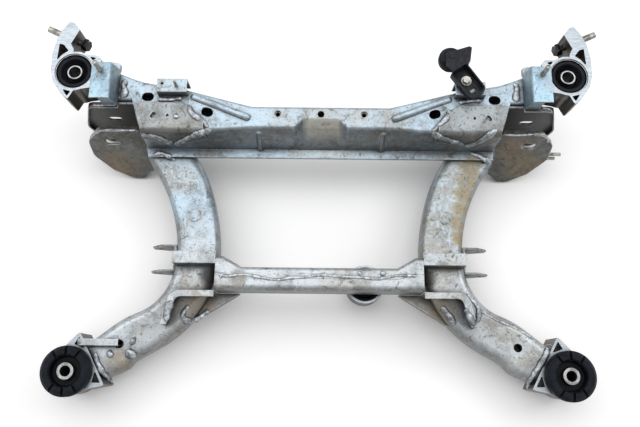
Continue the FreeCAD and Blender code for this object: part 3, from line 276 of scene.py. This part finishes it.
# A darker copy of the sheet tones for the rear ear, painted shade
SHADED_EAR_TONES = Tones(
    (0.105, 0.108, 0.105), (0.050, 0.050, 0.047), (0.105, 0.108, 0.105), (0.050, 0.050, 0.048),
    (0.070, 0.058, 0.042), (0.014, 0.013, 0.012), (0.026, 0.026, 0.025))


def pressed_aluminium(name, tones, bevel=SHEET_EDGE):
    """Dull pressed sheet: oxide clouds, rubbed streaks, stains, dirt and painted shade in corners, brown
    painted shade on the sides and front faces, painted highlights and wear on the edges.
    """
    f = Finish(name)
    toward_rear = f.part_of_place("Y").rise(-0.13, 0.03)
    light = f.mix(tones.front_light, tones.rear_light, toward_rear)
    mid = f.mix(tones.front_mid, tones.rear_mid, toward_rear)
    clouds = f.noise(11.0, 5.0, 0.62, 0.5)
    drift = f.noise(6.0, 4.0, 0.6, 0.8)
    mottle = f.noise(62.0, 5.0, 0.66, 0.9)
    grain = f.noise(850.0, 2.0, 0.5)
    rubbed = f.noise(1.0, 4.0, 0.65, 0.0, f.stretched(380.0, 30.0, 60.0, 0.5))
    pits = f.noise(240.0, 2.0, 0.5).rise(0.61, 0.70)
    grit = f.noise(150.0, 4.0, 0.72, 0.6)
    facing_up = f.part_of_normal("Z").rise(-0.1, 0.90)
    facing_front = f.part_of_normal("Y").rise(-0.15, -0.70)
    soft = f.rounded_normal(bevel)
    ragged = (mottle - 0.5) * 1.3 + (clouds - 0.5)

    colour = f.coats(
        mid,
        (light, clouds, 0.38, 0.58, 1.0),
        (tones.warm, drift, 0.46, 0.64, 0.55),
        (light, mottle, 0.51, 0.64, 0.7),
        (tones.dark, mottle, 0.44, 0.32, 0.75),
        (light, grit, 0.56, 0.68, 0.5),
        (tones.dark, grit, 0.41, 0.30, 0.45),
        (light, rubbed, 0.56, 0.70, 0.5))
    colour = f.mix(colour, tones.dark, pits * 0.55)

    # Painted shade: the sides and the faces turned to the front go dark, toward the side shade, with mottled
    # variation
    side = (1.0 - facing_up) * (clouds.rise(0.30, 0.62) * 0.4 + 0.6)
    painted_side_shade = f.mix(tones.side, mid, (mottle.rise(0.44, 0.62) + clouds.rise(0.44, 0.60)) * 0.4)
    painted_side_shade = f.coats(painted_side_shade, (tones.dark, grit, 0.49, 0.36, 0.7))
    colour = f.mix(colour, painted_side_shade, side.either(facing_front * 0.8) * 0.85)

    # The pad, painted lighter over the front's painted shade: partly its tan tone, partly painted light on a
    # face that turns up more
    off_middle = abs(f.part_of_place("X") - PAD_MIDDLE) + ragged * 0.006
    pad = off_middle.rise(PAD_HALF_WIDTH + 0.010, PAD_HALF_WIDTH - 0.006) * facing_front
    pad = pad * f.part_of_place("Z").rise(PAD_FOOT, PAD_FOOT + 0.035)
    colour = f.coats(colour, (PAD_COLOUR, mottle, 0.22, 0.50, pad * 0.7))

    tan = f.patches(TAN_STAINS, ragged)
    yellow = f.patches(YELLOW_STAINS, ragged)
    # Painted shade at the open beam ends, darkened below together with the corners
    dark_patch = f.patches(SHADE_AT_BEAM_ENDS)
    colour = f.coats(colour, (TAN, mottle, 0.28, 0.60, tan * 0.7), (YELLOW, mottle, 0.28, 0.56, yellow * 0.9))
    speckles = f.noise(38.0, 6.0, 0.72, 1.2).rise(0.59, 0.68)
    colour = f.mix(colour, SPECKLES, speckles.either(yellow * pits) * 0.6)
    # Painted shade and dirt in corners and creases, and the painted shade at the beam ends
    crevice_shade_and_grime = (f.crevice(0.022) * 1.9 + (mottle - 0.5) * 0.7).rise(0.26, 0.95).either(dark_patch * 0.9)
    colour = f.mix(colour, SHEET_SHADE_AND_GRIME, crevice_shade_and_grime * 0.9)
    # Painted highlight, with wear, along the edges, kept off the shaded corners
    clean_edge_highlight_and_wear = f.edge_wear_and_highlight(soft) * (1.0 - crevice_shade_and_grime)
    colour = f.coats(colour, (grey(0.80, 0.05), mottle, 0.34, 0.56, clean_edge_highlight_and_wear * 0.85))

    height = grain * 0.2 + mottle * 0.7 + rubbed * 0.25 - pits * 0.5 + clouds * 0.9
    return f.shade({
        "Base Color": colour,
        "Roughness": clouds.to(0.26, 0.46) + crevice_shade_and_grime * 0.2 + tan * 0.14 + yellow * 0.14,
        "Metallic": 0.74 - crevice_shade_and_grime * 0.5 - tan.either(yellow) * 0.35,
        "Normal": f.bump(height, 0.0012, 0.6, soft)})


def sawn_aluminium(name):
    """Sawn profile: bright cut faces with blade lines, dark oxide and brown painted shade on the drawn sides,
    painted shade in corners, painted highlights and wear on edges.
    """
    f = Finish(name)
    blade = f.noise(1.0, 3.0, 0.6, 0.0, f.stretched(60.0, 900.0, 60.0, 0.35))
    clouds = f.noise(26.0, 4.0, 0.6)
    die_lines = f.noise(1.0, 2.0, 0.5, 0.0, f.stretched(300.0, 300.0, 8.0))
    soft = f.rounded_normal(CUT_EDGE)
    cut_face = f.part_of_normal("Z").rise(0.75, 0.95)
    bright = f.coats(
        grey(0.32, 0.10),
        (grey(0.46, 0.09), blade, 0.38, 0.62, 1.0),
        (grey(0.20, 0.04), clouds, 0.54, 0.72, 0.6))
    # The drawn sides: dark oxide, with brown painted shade
    drawn = f.coats(
        (0.040, 0.034, 0.028),
        ((0.13, 0.115, 0.10), die_lines, 0.35, 0.70, 1.0),
        (grey(0.20, 0.03), clouds, 0.55, 0.70, 0.6))
    colour = f.mix(drawn, bright, cut_face)
    # Painted shade and dirt in corners
    crevice_shade_and_grime = (f.crevice(0.012) * 1.5).rise(0.35, 1.0)
    colour = f.mix(colour, (0.03, 0.026, 0.022), crevice_shade_and_grime * 0.75)
    # Painted highlight and wear along the edges
    colour = f.mix(colour, grey(0.85, 0.03), f.edge_wear_and_highlight(soft) * (1.0 - crevice_shade_and_grime) * 0.7)
    height = blade * cut_face * 0.5 + die_lines * (1.0 - cut_face) * 0.6 + clouds * 0.4
    return f.shade({
        "Base Color": colour,
        "Roughness": clouds.to(0.30, 0.46),
        "Metallic": cut_face.to(0.5, 0.82),
        "Normal": f.bump(height, 0.0005, 0.6, soft)})


def weld_metal(name):
    """Bead metal: dull silver with white oxide, dark sooty spots, and painted shade along its foot and in the
    ripples.
    """
    f = Finish(name)
    clouds = f.noise(120.0, 4.0, 0.6, 0.5)
    dark_patch = f.noise(40.0, 4.0, 0.65).rise(0.54, 0.68)
    # Painted shade and dirt along the foot and in the ripples
    crevice_shade_and_grime = (f.crevice(0.008) * 1.9).rise(0.32, 0.90)
    colour = f.coats(grey(0.24, 0.06), (grey(0.56, 0.07), clouds, 0.38, 0.62, 1.0))
    colour = f.mix(colour, (0.095, 0.088, 0.076), dark_patch * 0.7)
    colour = f.mix(colour, (0.030, 0.026, 0.022), crevice_shade_and_grime * 0.9)
    return f.shade({
        "Base Color": colour,
        "Roughness": clouds.to(0.28, 0.5),
        "Metallic": 0.80 - dark_patch * 0.4,
        "Normal": f.bump(clouds, 0.0008, 0.6)})


def black_rubber(name):
    """Blue-black rubber with a dusty bloom and fine pits, painted shade in its crevices and a painted dark
    hollow in each lower bush.
    """
    f = Finish(name)
    dust = f.noise(55.0, 5.0, 0.65, 0.4)
    fine = f.noise(700.0, 3.0, 0.6)
    facing_up = f.part_of_normal("Z").rise(0.2, 0.9)
    colour = f.coats(
        (0.003, 0.004, 0.006),
        ((0.009, 0.012, 0.018), dust, 0.35, 0.65, 1.0),
        ((0.045, 0.044, 0.042), dust, 0.62, 0.80, facing_up * 0.35))
    # Painted shade in the rubber's crevices
    colour = f.mix(colour, (0.0015, 0.0015, 0.002), (f.crevice(0.030) * 1.5).rise(0.25, 0.95))
    # Painted shade of the dark hollow in each lower bush's rubber
    for side in ("left", "right"):
        low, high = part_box(f"lower_bush_rubber_{side}")
        middle = (low + high) / (2 * MM)
        painted_well_shade = f.distance_to(middle.x, middle.y, high.z / MM).rise(WELL_RADIUS + 0.002, WELL_RADIUS - 0.002)
        colour = f.mix(colour, (0.001, 0.001, 0.0015), painted_well_shade * 0.85)
    return f.shade({
        "Base Color": colour,
        "Roughness": dust.to(0.38, 0.60),
        "Specular IOR Level": 0.12,
        "Normal": f.bump(fine + dust, 0.0005, 0.5, f.rounded_normal(RUBBER_EDGE))})


def bush_steel(name):
    """Turned steel with a rubbed rim that carries a painted highlight, a trace of rust, and painted shade on
    its sides, inside and in crevices.
    """
    f = Finish(name)
    clouds = f.noise(60.0, 4.0, 0.6)
    rust = f.noise(95.0, 5.0, 0.7, 0.8).rise(0.54, 0.68)
    soft = f.rounded_normal(CUT_EDGE)
    # Painted shade on every face that turns away from up, the inside of the sleeve with them, and in crevices
    side_and_bore_shade = f.part_of_normal("Z").rise(0.70, 0.30)
    crevice_shade_and_grime = (f.crevice(0.008) * 1.4).rise(0.40, 1.0).either(side_and_bore_shade)
    colour = f.coats(grey(0.22, 0.02), (grey(0.42, 0.03), clouds, 0.35, 0.60, 1.0))
    colour = f.mix(colour, (0.16, 0.10, 0.055), rust * 0.6)
    # Painted highlight, with wear, on the rim
    colour = f.mix(colour, grey(0.82, 0.03), f.edge_wear_and_highlight(soft) * 0.85)
    colour = f.mix(colour, (0.012, 0.010, 0.008), crevice_shade_and_grime * 0.94)
    return f.shade({
        "Base Color": colour,
        "Roughness": clouds.to(0.24, 0.46) + rust * 0.25,
        "Metallic": 0.90 - rust.either(crevice_shade_and_grime) * 0.6,
        "Normal": f.bump(clouds + rust * 0.5, 0.0004, 0.5, soft)})


def fastener_steel(name, black_inside=0.0):
    """Zinc plating with a yellow cast, and black where it is nearer to the middle than black_inside metres."""
    f = Finish(name)
    clouds = f.noise(70.0, 4.0, 0.6)
    dull = f.noise(220.0, 4.0, 0.7).rise(0.58, 0.70)
    # Painted shade and dirt in crevices
    crevice_shade_and_grime = (f.crevice(0.005) * 1.4).rise(0.38, 1.05)
    colour = f.coats((0.14, 0.135, 0.12), ((0.35, 0.345, 0.32), clouds, 0.35, 0.62, 1.0))
    colour = f.mix(colour, (0.16, 0.11, 0.07), dull * 0.5)
    if black_inside:
        black = f.coats((0.012, 0.012, 0.014), ((0.075, 0.075, 0.08), clouds, 0.5, 0.68, 1.0))
        off_middle = abs(f.part_of_place("X"))
        colour = f.coats(colour, (black, off_middle, black_inside, black_inside - 0.006, 1.0))
    colour = f.mix(colour, (0.04, 0.034, 0.028), crevice_shade_and_grime * 0.7)
    return f.shade({
        "Base Color": colour,
        "Roughness": clouds.to(0.26, 0.46),
        "Metallic": 0.92 - dull * 0.4,
        "Normal": f.bump(clouds + dull, 0.0003, 0.5)})


def hanger_paint(name):
    """Black paint over steel, chipped blue-grey along the folds, with brown dust."""
    f = Finish(name)
    wear = f.noise(110.0, 5.0, 0.7, 0.6)
    dust = f.noise(40.0, 5.0, 0.65)
    facing_up = f.part_of_normal("Z").rise(0.1, 0.9)
    soft = f.rounded_normal(CUT_EDGE)
    colour = f.coats(
        (0.003, 0.003, 0.005),
        ((0.014, 0.018, 0.028), wear, 0.45, 0.65, 1.0),
        ((0.045, 0.034, 0.025), dust, 0.54, 0.72, facing_up * 0.45))
    colour = f.mix(colour, (0.085, 0.11, 0.155), f.edge_wear_and_highlight(soft) * 0.7)
    return f.shade({
        "Base Color": colour,
        "Roughness": wear.to(0.30, 0.52),
        "Specular IOR Level": 0.18,
        "Normal": f.bump(wear, 0.0005, 0.5, soft)})


def dress_nodes():
    """Gives every node its finish: its slot's, or its own where the photograph shows another shade."""
    finishes = {
        "pressed_aluminium": pressed_aluminium("pressed_aluminium_worn", BEAM_TONES),
        "sawn_aluminium": sawn_aluminium("sawn_aluminium_bright"),
        "rubber": black_rubber("rubber_dusty"),
        "bush_steel": bush_steel("bush_steel_turned"),
        "fastener_steel": fastener_steel("fastener_zinc"),
        "hanger_paint": hanger_paint("hanger_black_paint"),
    }
    capped = pressed_aluminium("pressed_aluminium_caps", CAP_TONES, THICK_EDGE)
    own_finishes = {
        "cap_plate": capped,
        "gusset": capped,
        "link_bracket": capped,
        "arm_bracket_front": pressed_aluminium("pressed_aluminium_browned", DISH_TONES, THICK_EDGE),
        # The rear ear gets the darker copy of the sheet as painted shade
        "arm_bracket_rear": pressed_aluminium("pressed_aluminium_shaded", SHADED_EAR_TONES, THICK_EDGE),
        "box_bracket": pressed_aluminium("pressed_aluminium_bluish", BOX_TONES),
        "ear_bolt": fastener_steel("ear_bolt_steel", EAR_BOLT_HEAD),
        "exhaust_hanger_pin": finishes["hanger_paint"],
    }
    slot_of = {entry["node"]: entry["material_slot"] for entry in frame["record"]["subparts"]}
    for name, node in frame["nodes"].items():
        own = [finish for start, finish in own_finishes.items() if name.startswith(start)]
        finish = own[0] if own else finishes[slot_of[name]]
        if not node.material_slots:
            node.data.materials.append(finish)
        for holder in node.material_slots:
            holder.material = finish
    return finishes


# Pieces made here

def part_turn(turns):
    """What a number of turns has beyond its full ones."""
    return turns - math.floor(turns)


def close_tube(mesh, rings):
    """Joins rings of points into a tube with closed ends."""
    for one, two in zip(rings, rings[1:]):
        for k in range(len(one)):
            n = (k + 1) % len(one)
            mesh.faces.new((one[k], one[n], two[n], two[k]))
    mesh.faces.new(list(reversed(rings[0])))
    mesh.faces.new(rings[-1])


def make_piece(name, mesh, finish):
    data = bpy.data.meshes.new(name)
    mesh.to_mesh(data)
    mesh.free()
    for face in data.polygons:
        face.use_smooth = True
    data.materials.append(finish)
    piece = bpy.data.objects.new(name, data)
    bpy.context.scene.collection.objects.link(piece)
    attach(piece, "root")
    return piece


# Weld beads, laid on the surface of the pieces they join

# The step from place to place along a seam, in pixels of the photograph
SEAM_STEP = 0.35
# The longest way in metres from one place to the next on the same surface, and the fewest places of a bead
LONGEST_STEP, FEWEST_PLACES = 0.014, 8
# How many places on each side even out a bead's line, and its upward direction
LINE_SPAN, UP_SPAN = 5, 6
# A bead's points around, the metres from ripple to ripple, and its height as a share of its half width
BEAD_SIDES, BEAD_PITCH, BEAD_HEIGHT = 12, 0.0026, 0.62
# Shares of the half width: a ripple's step, a slow and a quick swell, and the wandering to the sides
RIPPLE, SLOW_SWELL, QUICK_SWELL, SIDEWAYS = 0.20, 0.18, 0.10, 0.22
# Each seam's name, its bead's radius in millimetres, and its places in the photograph
SEAMS = (
    ("cap_front_outer_left", 6.8, ((136, 130), (144, 135), (155, 136.5), (165, 140), (174, 143.5))),
    ("cap_front_inner_left", 7.2, ((174, 144.5), (185, 139.5), (196, 135), (205, 131), (212, 129))),
    ("cap_inner_left", 5.6, ((188, 104), (191.5, 112), (202, 121), (208, 129))),
    ("cap_front_outer_right", 7.2, ((498, 130), (494, 132.5), (485, 137.5), (473, 144), (464, 146.5))),
    ("cap_front_inner_right", 7.0, ((431, 132), (442.5, 137.5), (455, 142.5), (465, 146))),
    ("cap_inner_right", 5.2, ((450, 109), (446, 119), (438, 127), (432, 133))),
    ("perch_front_left", 6.0, ((157, 100), (170, 99), (183, 97.5))),
    ("perch_front_right", 6.0, ((457.5, 102), (470, 100.5), (482.5, 101))),
    ("box_inner_left", 7.8, ((128, 80), (123, 85), (124, 92), (120.5, 98))),
    ("box_inner_right", 6.6, ((513.5, 82), (517.5, 88), (516, 97), (515, 103))),
    ("rail_head_left", 4.8, ((152.5, 156.5), (159, 153), (166, 154), (176, 161))),
    ("rail_head_right", 5.2, ((470, 153), (477.5, 155), (487, 160), (495, 164))),
    ("arm_outer_left", 6.8, ((173, 300), (168, 310), (165, 322))),
    ("gusset_arm_left", 6.2, ((190, 305), (182, 314), (187, 321), (197, 318), (210, 310))),
    ("arm_inner_right", 6.4, ((441.5, 305), (448, 315), (455, 326))),
    ("arm_outer_right", 6.6, ((461.5, 303), (468, 312), (473, 323), (478, 325))),
    ("arm_edge_right", 5.0, ((467, 297), (476.5, 305), (478.5, 316), (477, 324))),
    ("bush_seam_left", 6.2, ((94.5, 352), (98, 363), (105, 375), (112, 382))),
    ("bush_seam_right", 7.0, ((543, 342), (547, 349), (543, 360), (537, 371), (529, 383), (527, 390))),
    ("sensor_upper", 8.0, ((130, 339), (133, 341), (136, 343))),
    ("sensor_inner", 8.0, ((125, 350), (131, 353), (137, 357))),
    ("sensor_outer", 7.0, ((106, 351.5), (110, 353.5), (114, 356.5))),
    ("narrow_crossbeam_left", 3.0,
     ((217, 273.5), (227, 276), (247, 275), (277, 280), (290, 278), (313, 276))),
    ("narrow_crossbeam_right", 3.0,
     ((310, 276), (320, 275.6), (330, 275.5), (357, 277.5), (377, 278.5), (397, 276), (417, 276))),
    ("arm_rim_right", 2.8,
     ((466, 292), (473, 301), (481, 311), (494, 318.5), (508, 324.8), (521, 331.5), (534, 339))),
    ("beam_lump_left", 4.2, ((218.5, 276), (220.5, 276.5), (223, 276))),
    ("beam_lump_middle", 4.0, ((357.5, 271), (360, 273), (363, 275))),
    ("beam_lump_right", 4.4, ((379, 272.5), (383, 274), (387, 273))),
    ("slot_dirt_left", 4.6, ((114.5, 139), (117.5, 140.5), (121, 141.5))),
    ("cap_lump_left", 6.0, ((172.5, 115), (176, 116.5), (179.5, 115))),
    ("dish_rim_left", 2.8, ((95.5, 134.5), (99, 131.2), (104, 130), (120, 130), (137, 130))),
    ("dish_rim_right", 2.8, ((504, 135.2), (520, 134.8), (541, 134.2), (546.5, 137.5), (549, 143))),
    ("ear_rim_left", 2.6, ((90.3, 124), (90.2, 112), (91, 106), (100, 105), (117, 105.2))),
    ("ear_rim_right", 2.6, ((551.8, 127), (552, 116), (551, 110), (540, 107.5))),
)
FIRST_SEED = 3


def whole_surface():
    """All the pieces' faces in one search tree."""
    points, faces = [], []
    for node in frame["nodes"].values():
        start = len(points)
        points += [v.co.copy() for v in node.data.vertices]
        faces += [[start + i for i in p.vertices] for p in node.data.polygons]
    return BVHTree.FromPolygons(points, faces)


def smooth_line(points, step):
    """Evenly spaced points on a rounded line through the given ones."""
    ends = [points[0] * 2 - points[1]] + points + [points[-1] * 2 - points[-2]]
    line = []
    for a, b, c, d in zip(ends, ends[1:], ends[2:], ends[3:]):
        count = max(2, int((c - b).length / step))
        for i in range(count):
            t = i / count
            line.append(0.5 * (2 * b + (c - a) * t + (2 * a - 5 * b + 4 * c - d) * t * t
                               + (3 * b - a - 3 * c + d) * t * t * t))
    line.append(points[-1])
    return line


def settle(line, span):
    """Evens out the jumps where the line crosses an edge."""
    settled = []
    for i in range(len(line)):
        near = line[max(0, i - span):i + span + 1]
        settled.append(sum(near, Vector()) / len(near))
    return settled


def seen_places(places):
    """The places of a seam in the photograph, in its pixels, as close points before the camera."""
    across, down = VIEW_MIDDLE
    return smooth_line([Vector((u - across, down - v, -VIEW_REACH)) for u, v in places], SEAM_STEP)


def longest_run(places, surface):
    """Where a seam's places fall on the pieces, on the longest stretch without a drop from one to another."""
    runs = [[]]
    for place in seen_places(places):
        aim = (VIEW @ place - VIEW.translation).normalized()
        hit, normal, _, _ = surface.ray_cast(VIEW.translation, aim)
        if hit is None:
            continue
        if runs[-1] and (hit - runs[-1][-1][0]).length > LONGEST_STEP:
            runs.append([])
        runs[-1].append((hit, normal if normal.dot(aim) < 0 else -normal))
    run = max(runs, key=len)
    return [hit for hit, _ in run], [up for _, up in run]


def bead(name, places, finish, radius, seed, surface):
    """A rippled bead along a seam's places in the photograph, lying on the pieces that are seen there."""
    rng = random.Random(seed)
    laid, ups = longest_run(places, surface)
    if len(laid) < FEWEST_PLACES:
        raise ValueError(f"{name} lies off the pieces")
    laid, ups = settle(laid, LINE_SPAN), [up.normalized() for up in settle(ups, UP_SPAN)]
    pitch = BEAD_PITCH * rng.uniform(0.9, 1.15)
    wander = [rng.uniform(0, 6.28) for _ in range(3)]
    half_width = radius * MM
    mesh = bmesh.new()
    rings, travelled = [], 0.0
    last = len(laid) - 1
    length = sum((b - a).length for a, b in zip(laid, laid[1:]))
    for i, (centre, up) in enumerate(zip(laid, ups)):
        if i:
            travelled += (centre - laid[i - 1]).length
        ahead = (laid[min(i + 1, last)] - laid[max(i - 1, 0)]).normalized()
        across = ahead.cross(up).normalized()
        up = across.cross(ahead).normalized()
        to_end = min(travelled, length - travelled) / half_width
        taper = math.sqrt(max(0.02, min(1.0, to_end * 1.2)))
        slow, quick = math.sin(travelled * 95 + wander[0]), math.sin(travelled * 260 + wander[1])
        swell = 1 + SLOW_SWELL * slow + QUICK_SWELL * quick
        drift = across * (half_width * SIDEWAYS * math.sin(travelled * 70 + wander[2]))
        ring = []
        for k in range(BEAD_SIDES):
            angle = 2 * math.pi * k / BEAD_SIDES
            phase = travelled / pitch - 0.45 * math.sin(angle) ** 2
            ripple = 1 + RIPPLE * (1 - 2 * part_turn(phase))
            size = half_width * taper * swell * (ripple if math.sin(angle) > -0.1 else 1)
            offset = across * (math.cos(angle) * size) + up * (math.sin(angle) * size * BEAD_HEIGHT)
            ring.append(mesh.verts.new(centre + drift + offset))
        rings.append(ring)
    close_tube(mesh, rings)
    bmesh.ops.recalc_face_normals(mesh, faces=mesh.faces)
    make_piece(name, mesh, finish)


def lay_welds(finish):
    surface = whole_surface()
    for seed, (name, radius, places) in enumerate(SEAMS, FIRST_SEED):
        bead(f"weld_{name}", places, finish, radius, seed, surface)


# Threads

# In millimetres: from turn to turn, a turn's depth, and the tip's length and how far it is turned down
THREAD_PITCH, THREAD_DEPTH, TIP_LENGTH, TIP_CUT = 1.0, 0.55, 1.2, 0.7
# A thread's points around, and its rings in each turn
THREAD_SIDES, RINGS_PER_TURN = 20, 4


def threaded_stud(node, finish):
    """A rod with a helical thread, as long and thick as the plain one, which it replaces."""
    low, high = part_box(node)
    radius, centre = (high.x - low.x) / 2, (low + high) / 2
    per_turn = THREAD_PITCH * MM
    rows = int((high.z - low.z) / per_turn * RINGS_PER_TURN)
    mesh = bmesh.new()
    rings = []
    for row in range(rows + 1):
        z = low.z + (high.z - low.z) * row / rows
        tip = max(0.0, 1 - (high.z - z) / (TIP_LENGTH * MM)) * TIP_CUT * MM
        ring = []
        for k in range(THREAD_SIDES):
            angle = 2 * math.pi * k / THREAD_SIDES
            phase = (z - low.z) / per_turn - k / THREAD_SIDES
            depth = abs(2 * part_turn(phase) - 1) * THREAD_DEPTH * MM
            r = radius - depth - tip
            ring.append(mesh.verts.new((centre.x + r * math.cos(angle), centre.y + r * math.sin(angle), z)))
        rings.append(ring)
    close_tube(mesh, rings)
    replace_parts(make_piece(f"{node}_thread", mesh, finish), node)


# Floor, light and camera

# Half the floor's width and how far it lies under the object, in metres, and how much it is lifted to white
FLOOR_HALF_WIDTH, FLOOR_DROP, FLOOR_LIFT = 12.0, 0.0005, 0.62
WORLD_LEVEL = 0.44
LAMP_AIM = Vector((0.0, 0.0, 0.1))
# Each lamp's name, place and width in metres, and power in watts
LAMPS = (
    ("top_lamp", (-0.15, 1.15, 2.5), 3.4, 44.0),
    ("left_lamp", (-2.2, 0.7, 2.2), 1.4, 12.0),
    ("right_lamp", (2.2, 0.7, 2.2), 1.4, 18.0),
)


def pale_floor():
    """A pale floor, lifted to white where it lies open or far away, with a painted shadow under and near the
    object, where the lift fades out.
    """
    f = Finish("floor_pale")
    paper = f.node("ShaderNodeBsdfDiffuse", None, {"Color": opaque(grey(0.86))})
    far = f.distance_to(0, 0, 0).rise(1.0, 4.0)
    # Painted shadow: the lift to white fades out under and near the object
    lift = f.mix(grey(0.0), f.mix(grey(0.45), grey(1.0), far), f.crevice(0.35).rise(0.85, 0.10))
    glow = f.node("ShaderNodeEmission", None, {"Color": lift, "Strength": FLOOR_LIFT})
    lifted = f.node("ShaderNodeAddShader", None, {0: paper, 1: glow})
    shown = f.node("ShaderNodeMixShader", None, {0: f.seen(), 1: paper, 2: lifted})
    mesh = bmesh.new()
    bmesh.ops.create_grid(mesh, x_segments=1, y_segments=1, size=FLOOR_HALF_WIDTH)
    data = bpy.data.meshes.new("floor")
    mesh.to_mesh(data)
    mesh.free()
    data.materials.append(f.finish_with(shown))
    floor = bpy.data.objects.new("floor", data)
    floor.location.z = -FLOOR_DROP
    bpy.context.scene.collection.objects.link(floor)


def white_world():
    """Even light from all around, which the camera and mirroring surfaces see as white."""
    world = bpy.data.worlds.new("studio")
    world.use_nodes = True
    bpy.context.scene.world = world
    w = Nodes(world.node_tree)
    white = opaque(grey(1.0))
    light = w.node("ShaderNodeBackground", None, {"Color": white, "Strength": WORLD_LEVEL})
    backdrop = w.node("ShaderNodeBackground", None, {"Color": white, "Strength": 1.0})
    shown = w.node("ShaderNodeMixShader", None, {0: w.seen(), 1: light, 2: backdrop})
    w.node("ShaderNodeOutputWorld", None, {"Surface": shown})


def soft_lamp(name, place, width, power):
    lamp = bpy.data.lights.new(name, "AREA")
    lamp.shape = "DISK"
    lamp.size = width
    lamp.energy = power
    holder = bpy.data.objects.new(name, lamp)
    holder.location = place
    holder.rotation_mode = "QUATERNION"
    holder.rotation_quaternion = (LAMP_AIM - Vector(place)).to_track_quat("-Z", "Y")
    bpy.context.scene.collection.objects.link(holder)


def camera_over_lower_bushes():
    data = bpy.data.cameras.new("camera")
    data.sensor_width = SENSOR_WIDTH
    data.lens = SENSOR_WIDTH * VIEW_REACH / (2 * VIEW_MIDDLE[0])
    camera = bpy.data.objects.new("camera", data)
    camera.matrix_world = VIEW
    bpy.context.scene.collection.objects.link(camera)
    bpy.context.scene.camera = camera


finishes = dress_nodes()
lay_welds(weld_metal("weld_bead"))
for stud in ("box_stud_left", "box_stud_right", "perch_stud"):
    threaded_stud(stud, finishes["fastener_steel"])
pale_floor()
white_world()
for lamp in LAMPS:
    soft_lamp(*lamp)
camera_over_lower_bushes()
bpy.context.scene.view_settings.view_transform = "Standard"
